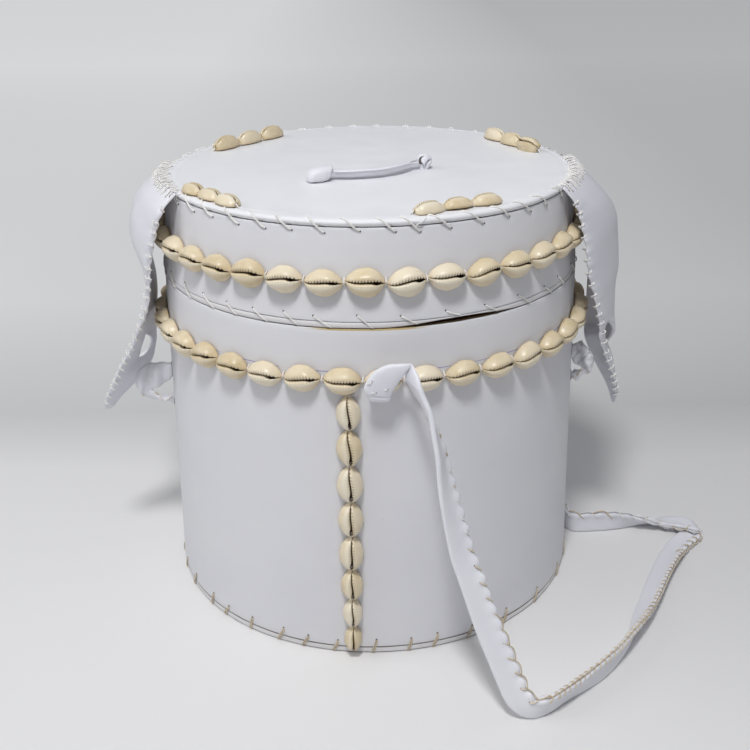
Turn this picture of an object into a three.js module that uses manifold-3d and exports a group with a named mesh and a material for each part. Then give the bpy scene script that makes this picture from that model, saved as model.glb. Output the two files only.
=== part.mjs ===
// A round lidded box of board covered in white leather, trimmed with cowrie shells.
// Millimetres, Z up. The front faces -Y, and the box stands on Z = 0 with its axis on the Z axis.
import * as THREE from 'three';
import { mergeVertices } from 'three/addons/utils/BufferGeometryUtils.js';
import Module from 'manifold-3d';

const wasm = await Module();
wasm.setup();

// The walls lean in a little from the floor to the top of the lid.
const BASE_RADIUS = 133.4;
const SEAM_RADIUS = 128;
const LID_TOP_RADIUS = 122.6;
const BODY_RIM_HEIGHT = 206.6;
const LID_FOOT_HEIGHT = 210.6;
const LID_TOP_HEIGHT = 264.2;

// Layers of the wall, from the outside in, with the clearance that pieces keep between them.
const GAP = 0.3;
const LEATHER = 1.4;
const BOARD = 3.4;
const LINING = 1;
const CORE_INSET = LEATHER + GAP;
const LINING_INSET = CORE_INSET + BOARD + GAP;
const ROUND_STEPS = 48;

// The base: leather with its edge turned up, a board and a lining.
const BASE_LEATHER = 1.6;
const BASE_EDGE_HEIGHT = 4.2;
const BASE_BOARD_TOP = 6.3;
const BASE_LINING_TOP = 7.7;
const BASE_LINING_CLEARANCE = 0.6;

// The rolled edge of the lid's top leather: radius and depth below the top of its section.
const ROLLED_EDGE = [
  [119.6, 3.1], [121.4, 3.9], [123, 3.3], [123.7, 1.9], [123, 0.6], [121.3, 0],
];
const ROLLED_EDGE_START = 118.7;
const ROLLED_EDGE_DEPTH = 3.9;

// The collar inside the rim, over which the lid slides.
const COLLAR_FOOT = 176;
const COLLAR_TOP = 220.5;
const COLLAR_THICKNESS = 2.5;
const COLLAR_CLEARANCE = 0.75;

// The cowrie strings that run round the body and the lid.
const SHELLS_PER_STRING = 37;
const BODY_STRING_HEIGHT = 178;
const BODY_STRING_START = -97;
const LID_STRING_HEIGHT = 232.5;
const LID_STRING_START = -91.3;
const SHELL_LENGTH = 20.6;
const SHELL_WIDTH = 15.4;
const SHELL_HEIGHT = 8.4;
const MOUTH_DEPTH = 1.6;
const THREAD_WIDTH = 3.2;
const THREAD_HEIGHT = 2.2;

// The shells down the front, from the body string to the base: length and width of each.
const FRONT_ROW_AZIMUTH = -95.6;
const FRONT_ROW_TOP = 169.2;
const FRONT_SHELLS = [
  [19.6, 13.4],
  [21.4, 14.4],
  [22, 14.8],
  [21.4, 14.4],
  [21.6, 14],
  [19.4, 13],
  [18.4, 11.6],
  [15.8, 10.6],
];

// Four groups of three shells on the lid: azimuth and radius of the middle one, the spacing
// between them and how far they stand up.
const TOP_GROUPS = [
  { azimuth: -138.6, radius: 115.6, spacing: 16.6, height: 6.8 },
  { azimuth: -65.7, radius: 112.2, spacing: 17.2, height: 6.8 },
  { azimuth: 28.4, radius: 107, spacing: 19.2, height: 8.6 },
  { azimuth: 139.6, radius: 105, spacing: 20.6, height: 9 },
];
const TOP_SHELL_WIDTH = 11.4;
const TOP_SHELL_GAP = 0.8;

// The carrying strap: one band of folded leather, from the front knot to the rear knot.
const STRAP_WIDTH = 15;
const STRAP_THICKNESS = 3;
const KNOT_AZIMUTH = -88.4;
const KNOT_SLIT_HEIGHT = 166.7;
const KNOT_INNER_FACE = 138.2;
const KNOT_DEPTH = 5.6;
const KNOT_SHANK_WIDTH = 11;
// Outline of the folded band as seen from the front: sideways, height.
const KNOT_OUTLINE = [
  [-8.1, 178.8], [-6, 174.2], [-1.9, 171.9], [5.9, 172.1], [11.3, 183.9],
  [16.5, 192], [15.5, 192.6], [4.5, 192.2], [-2.8, 188.5],
];
// The band's tail in section, from the slit out and up behind the fold: outward, height.
const KNOT_TAIL = [[139, 168.8], [143, 173.4], [138.6, 174], [137, 170.8]];
const KNOT_TAIL_BEND = 132.5;
const KNOT_LUMP = { halfDepth: 3.6, halfHeight: 5.5 };

// The toggles that the flaps button on to.
const LEFT_TOGGLE = { azimuth: -170, top: 144, reach: 22 };
const RIGHT_TOGGLE = { azimuth: -10, top: 153, reach: 14 };
const TOGGLE_THICKNESS = 5;
const TOGGLE_BAND = 13;
const TOGGLE_GAP = 6;
const TOGGLE_TAIL = 5.4;
const TOGGLE_LUMP = { halfWidth: 6, halfDepth: 3.4 };

// The lid handle, a rolled strip that lies forward on the lid between its two tied ends.
const HANDLE_LEFT = new THREE.Vector3(-22, -38, 267.8);
const HANDLE_RIGHT = new THREE.Vector3(27.5, -15, 267.8);
const HANDLE_HALF_WIDTH = 3.6;
const HANDLE_HALF_HEIGHT = 2.9;
// How far forward the strip lies along its length, as share of the length and distance.
const HANDLE_BOW = [
  [0, 0], [0.05, 0], [0.17, 4.4], [0.34, 8.6], [0.53, 9.8], [0.71, 8.6], [0.86, 4.4], [0.95, 0], [1, 0],
];
const HANDLE_LEFT_END = { place: HANDLE_LEFT, side: -1, halfLength: 7, halfWidth: 5.6, height: 8 };
const HANDLE_RIGHT_END = { place: HANDLE_RIGHT, side: 1, halfLength: 6, halfWidth: 6, height: 9.5 };
const HANDLE_STEM_RADIUS = 3;
const HANDLE_KNOT = { halfLength: 7.5, halfWidth: 6, halfHeight: 3.4 };

// The flaps, seen as outward distance, depth and height of front edge, belly and rear edge.
const FLAP_THICKNESS = 2.6;
const LEFT_FLAP_ROWS = [
  [[108.5, -65, 263], [124.4, -26, 263.4], [126.4, 13, 263]],
  [[116.5, -67, 253.5], [135, -27, 254], [135.5, 15, 252]],
  [[122, -66, 240], [141.8, -28, 239], [142, 16, 236]],
  [[126, -64, 226], [141.8, -27, 225], [142, 14, 221]],
  [[128.9, -61.5, 210], [138.5, -27, 211], [141, 8, 207]],
  [[134.6, -57, 190], [138.8, -25, 192], [140, 4, 190]],
  [[142, -52, 173.5], [142.5, -24, 174], [140.4, 3, 174]],
  [[151, -46, 156.5], [148, -22, 156], [141.8, 1, 156]],
  [[161, -38.5, 138], [156.5, -20, 138], [145.5, -2, 139]],
  [[169.5, -31.5, 122], [165, -20, 122], [157, -9.5, 124]],
  [[173, -26, 112], [171, -22, 111.5], [168.6, -18, 112]],
];
const RIGHT_FLAP_ROWS = [
  [[109, -64.5, 263], [124.4, -26, 263.4], [126.4, 13, 263]],
  [[116, -63.5, 253.5], [134, -27, 254.5], [134, 14, 253]],
  [[120, -62, 240], [146, -22, 241], [144, 15, 239]],
  [[123.8, -60, 224], [151.5, -18, 224], [147, 15, 221]],
  [[127.6, -57, 208], [153, -16, 206], [145.5, 14, 203]],
  [[133.8, -52, 190], [152.6, -14, 188], [142, 10, 186]],
  [[139.7, -47, 172], [153.3, -12, 170], [141, 6, 168]],
  [[145, -41.5, 154], [153.6, -12, 152], [141, 2, 150]],
  [[152.5, -34, 136], [153.6, -16, 135], [146, -3, 135]],
  [[157.6, -27.5, 120], [157.2, -20, 119], [154.8, -14, 120]],
  [[158.7, -23, 111], [158.4, -21, 110.5], [158, -19, 111]],
];
const FLAP_STEPS_ACROSS = 8;
const FLAP_STEPS_ALONG = 20;
const SLIT_PLACE = { across: 0.5, along: 0.71 };
const SLIT_LENGTH = 18;
const SLIT_WIDTH = 2.6;

// The strap's route: point, direction from its smooth edge to its sewn edge, and 1 where it lies
// on the floor, which sets its height. It hangs from the front knot, runs away along the floor on
// its edge, is creased back on itself and goes round behind the box and up to the rear knot.
const STRAP_ROUTE = [
  [[21, -145.2, 184.2], [-0.47, 0.88, 0], 0],
  [[24, -146.8, 177.5], [-0.4, 0.91, 0], 0],
  [[28.2, -149.2, 170], [-0.25, 0.97, 0], 0],
  [[31.7, -151.6, 159], [0, 1, 0], 0],
  [[35.3, -154.4, 146], [0.25, 0.97, 0], 0],
  [[37.6, -156.4, 132], [0.45, 0.88, 0.1], 0],
  [[40.5, -158.8, 118], [0.6, 0.77, 0.15], 0],
  [[44, -161.7, 104], [0.75, 0.62, 0.2], 0],
  [[47.5, -164.7, 90], [0.82, 0.5, 0.25], 0],
  [[52.3, -168.7, 77], [0.85, 0.42, 0.3], 0],
  [[61.8, -176.7, 49.6], [0.85, 0.4, 0.33], 0],
  [[67.4, -181.4, 36.4], [0.84, 0.38, 0.36], 0],
  [[73, -186.2, 23], [0.8, 0.34, 0.48], 0],
  [[78.4, -190, 12.8], [0.62, 0.15, 0.77], 0],
  [[86, -191.4, 0], [0.26, -0.1, 0.95], 1],
  [[95, -188.6, 0], [0.14, -0.24, 0.96], 1],
  [[105.4, -180.3, 0], [0.14, -0.26, 0.95], 1],
  [[129.3, -161, 0], [0, -0.1, 1], 1],
  [[141.4, -148, 0], [0.1, -0.06, 1], 1],
  [[151.8, -133.5, 0], [0.2, -0.12, 0.97], 1],
  [[159.5, -119.5, 0], [0.5, -0.25, 0.83], 1],
  [[167, -105, 0], [0.7, -0.36, 0.62], 1],
  [[176.5, -86.5, 0], [0.78, -0.38, 0.5], 1],
  [[187, -65.5, 0], [0.8, -0.42, 0.42], 1],
  [[198.5, -45, 0], [0.82, -0.48, 0.3], 1],
  [[211, -26.5, 0], [0.8, -0.58, 0.1], 1],
  [[219.5, -17, 1.8], [0.5, -0.86, 0], 0],
  [[226, -10.8, 1.9], [0.17, -0.98, 0], 0],
  [[227.8, -9, 3.7], [0.17, -0.98, 0], 0],
  [[226, -8.3, 5.5], [0.17, -0.98, 0], 0],
  [[218, -4.6, 5.5], [0.1, -1, 0], 0],
  [[208.5, -1.6, 4.6], [0, -1, 0.1], 0],
  [[199, -1, 0], [0, -0.88, 0.48], 1],
  [[187, -2.2, 0], [0, -0.6, 0.8], 1],
  [[174, -3, 0], [0, -0.2, 0.98], 1],
  [[161, -3.4, 0], [0, 0, 1], 1],
  [[149, -4.2, 0], [0, 0, 1], 1],
  [[141.6, -3.6, 0], [0, 0, 1], 1],
  [[138, 0.6, 0], [0, 0, 1], 1],
  [[136.8, 9, 0], [0, 0, 1], 1],
  [[137, 24, 0], [0, 0, 1], 1],
  [[134, 45, 0], [0, 0, 1], 1],
  [[125, 72, 0], [0, 0, 1], 1],
  [[108, 98, 0], [0, 0, 1], 1],
  [[84, 121.5, 10], [0, 0, 1], 0],
  [[63, 136.5, 24], [0.3, -0.2, 0.95], 0],
  [[44, 146, 46], [0.6, -0.3, 0.7], 0],
  [[27, 151, 72], [0.75, -0.3, 0.5], 0],
  [[11, 153.6, 98], [0.85, -0.35, 0.3], 0],
  [[-2.5, 153.4, 123], [0.8, -0.5, 0.2], 0],
  [[-12.5, 151.4, 146], [0.7, -0.7, 0], 0],
  [[-18.5, 148.8, 166], [0.6, -0.8, 0], 0],
  [[-21, 145.6, 184.2], [0.47, -0.88, 0], 0],
];
const STRAP_LONGEST_STEP = 9;

const degrees = THREE.MathUtils.degToRad;

// A plain material with the colour and finish of one kind of surface.
function finish(color, roughness, metalness = 0) {
  return new THREE.MeshStandardMaterial({ color, roughness, metalness });
}

const whiteLeather = () => finish('#e9e9ee', 0.55);
const rawBoard = () => finish('#b59a72', 0.9);
const liningCloth = () => finish('#6b4d38', 0.9);
const collarLeather = () => finish('#4a3022', 0.75);
const shellEnamel = () => finish('#e3cfa4', 0.35);

// Radius of the outside of the wall at a height.
function wallRadius(z) {
  if (z < LID_FOOT_HEIGHT) {
    return THREE.MathUtils.lerp(BASE_RADIUS, SEAM_RADIUS, z / LID_FOOT_HEIGHT);
  }
  const t = (z - LID_FOOT_HEIGHT) / (LID_TOP_HEIGHT - LID_FOOT_HEIGHT);
  return THREE.MathUtils.lerp(SEAM_RADIUS, LID_TOP_RADIUS, t);
}

// Lean of the wall from upright at a height, in radians.
function wallLean(z) {
  return Math.atan((wallRadius(z - 1) - wallRadius(z + 1)) / 2);
}

// Six times the volume that a triangle mesh encloses; negative where its faces point in.
function signedVolume(geometry) {
  const p = geometry.attributes.position;
  const index = geometry.index.array;
  const a = new THREE.Vector3();
  const b = new THREE.Vector3();
  const c = new THREE.Vector3();
  let sum = 0;
  for (let i = 0; i < index.length; i += 3) {
    a.fromBufferAttribute(p, index[i]);
    b.fromBufferAttribute(p, index[i + 1]);
    c.fromBufferAttribute(p, index[i + 2]);
    sum += a.dot(b.cross(c));
  }
  return sum;
}

// Keeps only positions, joins shared corners and turns the faces outward.
function closed(geometry) {
  const bare = new THREE.BufferGeometry();
  bare.setAttribute('position', geometry.attributes.position.clone());
  if (geometry.index) {
    bare.setIndex(Array.from(geometry.index.array));
  }
  const merged = mergeVertices(bare, 1e-4);
  const source = Array.from(merged.index.array);
  const kept = [];
  for (let i = 0; i < source.length; i += 3) {
    const [a, b, c] = source.slice(i, i + 3);
    if (a !== b && b !== c && c !== a) {
      kept.push(a, b, c);
    }
  }
  merged.setIndex(kept);
  if (signedVolume(merged) < 0) {
    for (let i = 0; i < kept.length; i += 3) {
      [kept[i + 1], kept[i + 2]] = [kept[i + 2], kept[i + 1]];
    }
    merged.setIndex(kept);
  }
  merged.computeVertexNormals();
  return merged;
}

// Solid for joining and cutting, made from a closed geometry.
function solid(geometry) {
  const body = closed(geometry);
  const mesh = new wasm.Mesh({
    numProp: 3,
    vertProperties: new Float32Array(body.attributes.position.array),
    triVerts: new Uint32Array(body.index.array),
  });
  return new wasm.Manifold(mesh);
}

// Geometry of a joined or cut solid.
function geometryOf(manifold) {
  const mesh = manifold.getMesh();
  const geometry = new THREE.BufferGeometry();
  geometry.setAttribute('position', new THREE.BufferAttribute(new Float32Array(mesh.vertProperties), 3));
  geometry.setIndex(Array.from(mesh.triVerts));
  return closed(geometry);
}

// Solid of revolution about Z, from an outline of [radius, height] points that closes on itself
// or starts and ends on the axis.
function turned(outline) {
  const points = outline.map(([radius, height]) => new THREE.Vector2(radius, height));
  if (outline[0][0] > 0) {
    points.push(points[0].clone());
  }
  return closed(new THREE.LatheGeometry(points, ROUND_STEPS).rotateX(Math.PI / 2));
}

// Skin over a row of equal rings of points, capped at both ends or joined into a loop.
function lofted(rings, loop = false) {
  const sides = rings[0].length;
  const positions = rings.flat().flatMap((p) => [p.x, p.y, p.z]);
  const index = [];
  const bands = loop ? rings.length : rings.length - 1;
  for (let i = 0; i < bands; i += 1) {
    const next = (i + 1) % rings.length;
    for (let j = 0; j < sides; j += 1) {
      const a = i * sides + j;
      const b = i * sides + ((j + 1) % sides);
      const c = next * sides + j;
      const d = next * sides + ((j + 1) % sides);
      index.push(a, b, c, b, d, c);
    }
  }
  if (!loop) {
    [0, rings.length - 1].forEach((ringIndex) => {
      const middle = new THREE.Vector3();
      rings[ringIndex].forEach((p) => middle.add(p));
      middle.divideScalar(sides);
      const hub = positions.length / 3;
      positions.push(middle.x, middle.y, middle.z);
      for (let j = 0; j < sides; j += 1) {
        const a = ringIndex * sides + j;
        const b = ringIndex * sides + ((j + 1) % sides);
        index.push(...(ringIndex === 0 ? [hub, b, a] : [hub, a, b]));
      }
    });
  }
  const geometry = new THREE.BufferGeometry();
  geometry.setAttribute('position', new THREE.Float32BufferAttribute(positions, 3));
  geometry.setIndex(index);
  return closed(geometry);
}

// Places a piece made at the origin, where X is sideways, Y is outward and Z is up, on the wall.
function ontoWall(geometry, azimuth, radius = 0, height = 0) {
  geometry.translate(0, radius, height);
  geometry.rotateZ(degrees(azimuth - 90));
  return geometry;
}

// Wall of one layer between two heights, set in from the outside and so thick.
function wallLayer(inset, thickness, low, high) {
  return turned([
    [wallRadius(low) - inset, low],
    [wallRadius(high) - inset, high],
    [wallRadius(high) - inset - thickness, high],
    [wallRadius(low) - inset - thickness, low],
  ]);
}

// Flat disc between two heights.
function disc(radius, low, high) {
  return turned([
    [0, low],
    [radius, low],
    [radius, high],
    [0, high],
  ]);
}

// Opening through the wall for a band that is so wide and high.
function wallSlit(azimuth, height, width, tall) {
  const reach = 60;
  const box = new THREE.BoxGeometry(width + 2 * GAP, reach, tall + 2 * GAP);
  return solid(ontoWall(box, azimuth, SEAM_RADIUS - 10, height));
}

// Cuts the given openings out of a geometry.
function cut(geometry, openings) {
  let body = solid(geometry);
  openings.forEach((opening) => {
    body = body.subtract(opening);
  });
  return geometryOf(body);
}

// Heights and sizes of the two bands of a toggle where they pass through the wall.
function toggleBands({ top }) {
  const bandMiddle = top - TOGGLE_BAND / 2;
  const tailMiddle = top - TOGGLE_BAND - TOGGLE_GAP - TOGGLE_TAIL / 2;
  return { bandMiddle, tailMiddle };
}

// Every opening in the body wall: two for the strap and two for each toggle.
function bodyOpenings() {
  const openings = [KNOT_AZIMUTH, KNOT_AZIMUTH + 180].map((azimuth) => (
    wallSlit(azimuth, KNOT_SLIT_HEIGHT, KNOT_SHANK_WIDTH, STRAP_THICKNESS)
  ));
  [LEFT_TOGGLE, RIGHT_TOGGLE].forEach((toggle) => {
    const { bandMiddle, tailMiddle } = toggleBands(toggle);
    openings.push(wallSlit(toggle.azimuth, bandMiddle, TOGGLE_THICKNESS, TOGGLE_BAND));
    openings.push(wallSlit(toggle.azimuth, tailMiddle, TOGGLE_THICKNESS, TOGGLE_TAIL));
  });
  return openings;
}

// Leather under the base, its edge turned up to meet the wall leather.
function baseCover() {
  const edge = wallRadius(BASE_EDGE_HEIGHT);
  const bevel = 0.9;
  return turned([
    [0, 0],
    [edge - bevel, 0],
    [edge, bevel],
    [edge, BASE_EDGE_HEIGHT],
    [edge - LEATHER + 0.05, BASE_EDGE_HEIGHT],
    [edge - LEATHER + 0.05, BASE_LEATHER],
    [0, BASE_LEATHER],
  ]);
}

// Collar fixed inside the rim. Above the rim it leans in so that the lid slides over it.
function innerCollar() {
  const inset = LINING_INSET + LINING + GAP;
  const lidInset = LINING_INSET + LINING + COLLAR_CLEARANCE;
  const outer = [
    [wallRadius(COLLAR_FOOT) - inset, COLLAR_FOOT],
    [wallRadius(BODY_RIM_HEIGHT - 2) - inset, BODY_RIM_HEIGHT - 2],
    [wallRadius(COLLAR_TOP) - lidInset, COLLAR_TOP],
  ];
  const inner = outer.map(([radius, height]) => [radius - COLLAR_THICKNESS, height]);
  return turned([...outer, ...inner.reverse()]);
}

// Cross-section of a cowrie: flat cut back on the wall, rounded lips and a drawn-in mouth.
// Each point is [across, outward].
function cowrieSection(width, height, mouth) {
  const half = width / 2;
  return [
    [-0.6 * half, 0],
    [-half, 0.38 * height],
    [-0.66 * half, 0.86 * height],
    [-0.14 * half, height],
    [0, height - mouth],
    [0.14 * half, height],
    [0.66 * half, 0.86 * height],
    [half, 0.38 * height],
    [0.6 * half, 0],
  ];
}

// How wide and high a cowrie is along its length, from the narrow end to the broad one.
const STRUNG_STATIONS = [
  [-0.22, 0.95],
  [0.18, 1],
];
const SINGLE_STATIONS = [
  [-0.5, 0.26],
  [-0.36, 0.72],
  [-0.12, 0.98],
  [0.14, 1],
  [0.37, 0.74],
  [0.5, 0.3],
];

// One string of cowries round the wall: the thread swells into a shell at each step.
function cowrieString(height, startAzimuth) {
  const lean = wallLean(height);
  const radius = wallRadius(height) + GAP + 0.1;
  const pitch = 360 / SHELLS_PER_STRING;
  const halfShell = SHELL_LENGTH / 2;
  const rings = [];
  const addRing = (arc, azimuth, width, tall, mouth) => {
    const turn = degrees(azimuth) + arc / radius;
    const level = new THREE.Vector3(Math.cos(turn), Math.sin(turn), 0);
    const out = level.clone().multiplyScalar(Math.cos(lean)).setZ(Math.sin(lean));
    const up = level.clone().multiplyScalar(-Math.sin(lean)).setZ(Math.cos(lean));
    const foot = level.clone().multiplyScalar(radius).setZ(height);
    rings.push(cowrieSection(width, tall, mouth).map(([across, outward]) => (
      foot.clone().addScaledVector(up, across).addScaledVector(out, outward)
    )));
  };
  for (let i = 0; i < SHELLS_PER_STRING; i += 1) {
    const azimuth = startAzimuth + i * pitch;
    addRing(-halfShell, azimuth, THREAD_WIDTH, THREAD_HEIGHT, 0);
    STRUNG_STATIONS.forEach(([along, scale]) => {
      addRing(along * SHELL_LENGTH, azimuth, SHELL_WIDTH * scale, SHELL_HEIGHT * scale, MOUTH_DEPTH);
    });
    addRing(halfShell, azimuth, THREAD_WIDTH, THREAD_HEIGHT, 0);
  }
  return lofted(rings, true);
}

// A single cowrie, lying along X with its mouth toward +Z.
function cowrie(length, width, height) {
  const rings = SINGLE_STATIONS.map(([along, scale]) => (
    cowrieSection(width * scale, height * scale, MOUTH_DEPTH * scale).map(([across, outward]) => (
      new THREE.Vector3(along * length, across, outward)
    ))
  ));
  return lofted(rings);
}

// Band of leather along a route of points, with its across direction at each one. Its section
// is a flat octagon. A section may lie askew to the route, as it does along a crease.
function band(points, acrosses, width, thickness) {
  const route = new THREE.CatmullRomCurve3(points, false, 'centripetal');
  const twist = new THREE.CatmullRomCurve3(acrosses);
  const spans = points.length - 1;
  const places = [];
  points.slice(1).forEach((point, i) => {
    places.push(i / spans);
    if (point.distanceTo(points[i]) > STRAP_LONGEST_STEP) {
      places.push((i + 0.5) / spans);
    }
  });
  places.push(1);
  const a = width / 2;
  const b = thickness / 2;
  const section = [
    [-a, -0.4 * b], [-a + b, -b], [a - b, -b], [a, -0.4 * b],
    [a, 0.4 * b], [a - b, b], [-a + b, b], [-a, 0.4 * b],
  ];
  return lofted(places.map((t) => {
    const middle = route.getPoint(t);
    const across = twist.getPoint(t).normalize();
    const face = new THREE.Vector3().crossVectors(route.getTangent(t), across);
    const squareness = face.length();
    face.normalize();
    return section.map(([u, v]) => (
      middle.clone().addScaledVector(across, u / squareness).addScaledVector(face, v)
    ));
  }));
}

// The free length of the strap. Where it lies on the floor, its tilt gives its height.
function carryingStrap() {
  const floorClearance = 0.2;
  const points = [];
  const acrosses = [];
  STRAP_ROUTE.forEach(([place, direction, onFloor]) => {
    const point = new THREE.Vector3(...place);
    const across = new THREE.Vector3(...direction).normalize();
    if (onFloor) {
      const flatness = Math.sqrt(1 - across.z ** 2);
      point.z = (STRAP_WIDTH * Math.abs(across.z) + STRAP_THICKNESS * flatness) / 2 + floorClearance;
    }
    points.push(point);
    acrosses.push(across);
  });
  return band(points, acrosses, STRAP_WIDTH, STRAP_THICKNESS);
}

// A knot of leather: a rounded lump with the given half sizes, in the frame of ontoWall.
function knotLump(halfWidth, halfDepth, halfHeight) {
  return new THREE.SphereGeometry(1, 10, 6).scale(halfWidth, halfDepth, halfHeight);
}

// End of the strap: a band folded over the shells, its tail bent in below them, through a slit
// in the wall, to a knot inside.
function strapKnot(azimuth) {
  const outline = new THREE.Shape(KNOT_OUTLINE.map(([x, z]) => new THREE.Vector2(-x, z)));
  const fold = new THREE.ExtrudeGeometry(outline, { depth: KNOT_DEPTH, bevelEnabled: false });
  fold.rotateX(Math.PI / 2).translate(0, KNOT_DEPTH, 0);
  const { halfDepth, halfHeight } = KNOT_LUMP;
  const lumpMiddle = wallRadius(KNOT_SLIT_HEIGHT) - LINING_INSET - LINING - 1 - halfDepth;
  const low = KNOT_SLIT_HEIGHT - STRAP_THICKNESS / 2;
  const high = KNOT_SLIT_HEIGHT + STRAP_THICKNESS / 2;
  const tail = new THREE.Shape([
    [lumpMiddle, low],
    [KNOT_TAIL_BEND, low],
    ...KNOT_TAIL,
    [KNOT_TAIL_BEND, high],
    [lumpMiddle, high],
  ].map(([outward, z]) => new THREE.Vector2(outward, z)));
  const shank = new THREE.ExtrudeGeometry(tail, { depth: KNOT_SHANK_WIDTH, bevelEnabled: false });
  shank.translate(0, 0, -KNOT_SHANK_WIDTH / 2).rotateX(Math.PI / 2).rotateZ(degrees(azimuth));
  const lump = knotLump(STRAP_WIDTH / 2 + 1, halfDepth, halfHeight);
  const body = solid(ontoWall(fold, azimuth, KNOT_INNER_FACE, 0))
    .add(solid(shank))
    .add(solid(ontoWall(lump, azimuth, lumpMiddle, KNOT_SLIT_HEIGHT)));
  return geometryOf(body);
}

// Folded loop that a flap buttons on to: a broad band above, a narrow tail below, both through
// the wall to one knot inside.
function toggleLoop(toggle) {
  const { bandMiddle, tailMiddle } = toggleBands(toggle);
  const wall = wallRadius(bandMiddle);
  const inside = wall - LINING_INSET - LINING - 1;
  const bottom = tailMiddle - TOGGLE_TAIL / 2;
  const start = inside - 4;
  const end = wall + toggle.reach;
  const outline = new THREE.Shape([
    [start, toggle.top],
    [end - 8, toggle.top],
    [end - 2, toggle.top - 4],
    [end, toggle.top - 10],
    [end - 1, bottom + 6],
    [end - 7, bottom],
    [start, bottom],
  ].map(([x, z]) => new THREE.Vector2(x, z)));
  const gapLow = bottom + TOGGLE_TAIL;
  const gapHigh = toggle.top - TOGGLE_BAND;
  outline.holes.push(new THREE.Path([
    [start + 3, gapLow],
    [end - 6, gapLow],
    [end - 6, gapHigh],
    [start + 3, gapHigh],
  ].map(([x, z]) => new THREE.Vector2(x, z))));
  const loop = new THREE.ExtrudeGeometry(outline, { depth: TOGGLE_THICKNESS, bevelEnabled: false });
  loop.translate(0, 0, -TOGGLE_THICKNESS / 2).rotateX(Math.PI / 2).rotateZ(degrees(toggle.azimuth));
  const lump = knotLump(TOGGLE_LUMP.halfWidth, TOGGLE_LUMP.halfDepth, (toggle.top - bottom) / 2 + 1);
  ontoWall(lump, toggle.azimuth, inside - TOGGLE_LUMP.halfDepth, (toggle.top + bottom) / 2);
  return geometryOf(solid(loop).add(solid(lump)));
}

// Top leather of the lid with its edge rolled over the side.
function lidTopCover() {
  const under = LID_TOP_HEIGHT - LEATHER;
  return turned([
    [0, under],
    [ROLLED_EDGE_START, under],
    ...ROLLED_EDGE.map(([radius, below]) => [radius, LID_TOP_HEIGHT - below]),
    [0, LID_TOP_HEIGHT],
  ]);
}

// Strip bound under the lower rim of the lid. To the right of the front it is drawn up, and the
// collar shows through the gap.
function lidRimBinding() {
  const outer = SEAM_RADIUS - 0.1;
  const inner = SEAM_RADIUS - LINING_INSET - LINING;
  const top = LID_FOOT_HEIGHT - GAP;
  const foot = BODY_RIM_HEIGHT + 0.4;
  const gapMiddle = -68;
  const gapHalfAngle = 20;
  const gapHeight = 2.6;
  const rings = [];
  for (let i = 0; i < ROUND_STEPS; i += 1) {
    const turn = (i / ROUND_STEPS) * 2 * Math.PI;
    const away = Math.abs(THREE.MathUtils.radToDeg(turn) - 360 - gapMiddle);
    const share = Math.min(1, away / gapHalfAngle);
    const lift = gapHeight * Math.cos((share * Math.PI) / 2) ** 2;
    const corners = [[inner, foot + lift], [outer, foot + lift], [outer, top], [inner, top]];
    rings.push(corners.map(([radius, z]) => (
      new THREE.Vector3(Math.cos(turn) * radius, Math.sin(turn) * radius, z)
    )));
  }
  return lofted(rings, true);
}

// The strip of the handle in the frame of its two ends: along the line between them, and forward
// of it. It leaves both ends along the line, so that it can swing about it.
function handleStrip() {
  const line = new THREE.Vector3().subVectors(HANDLE_RIGHT, HANDLE_LEFT);
  const length = line.length();
  line.normalize();
  const forward = new THREE.Vector3(line.y, -line.x, 0);
  const route = new THREE.CatmullRomCurve3(HANDLE_BOW.map(([along, ahead]) => (
    HANDLE_LEFT.clone().addScaledVector(line, along * length).addScaledVector(forward, ahead)
  )), false, 'centripetal');
  const rings = [];
  const steps = 20;
  const sides = 8;
  const up = new THREE.Vector3(0, 0, 1);
  for (let i = 0; i <= steps; i += 1) {
    const middle = route.getPointAt(i / steps);
    const across = new THREE.Vector3().crossVectors(route.getTangentAt(i / steps), up).normalize();
    const ring = [];
    for (let j = 0; j < sides; j += 1) {
      const turn = ((j + 0.5) / sides) * 2 * Math.PI;
      ring.push(middle.clone()
        .addScaledVector(across, Math.cos(turn) * HANDLE_HALF_WIDTH)
        .addScaledVector(up, Math.sin(turn) * HANDLE_HALF_HEIGHT));
    }
    rings.push(ring);
  }
  return lofted(rings);
}

// Direction of the line through the handle's ends, as an angle about Z.
function handleTurn() {
  return Math.atan2(HANDLE_RIGHT.y - HANDLE_LEFT.y, HANDLE_RIGHT.x - HANDLE_LEFT.x);
}

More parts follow.
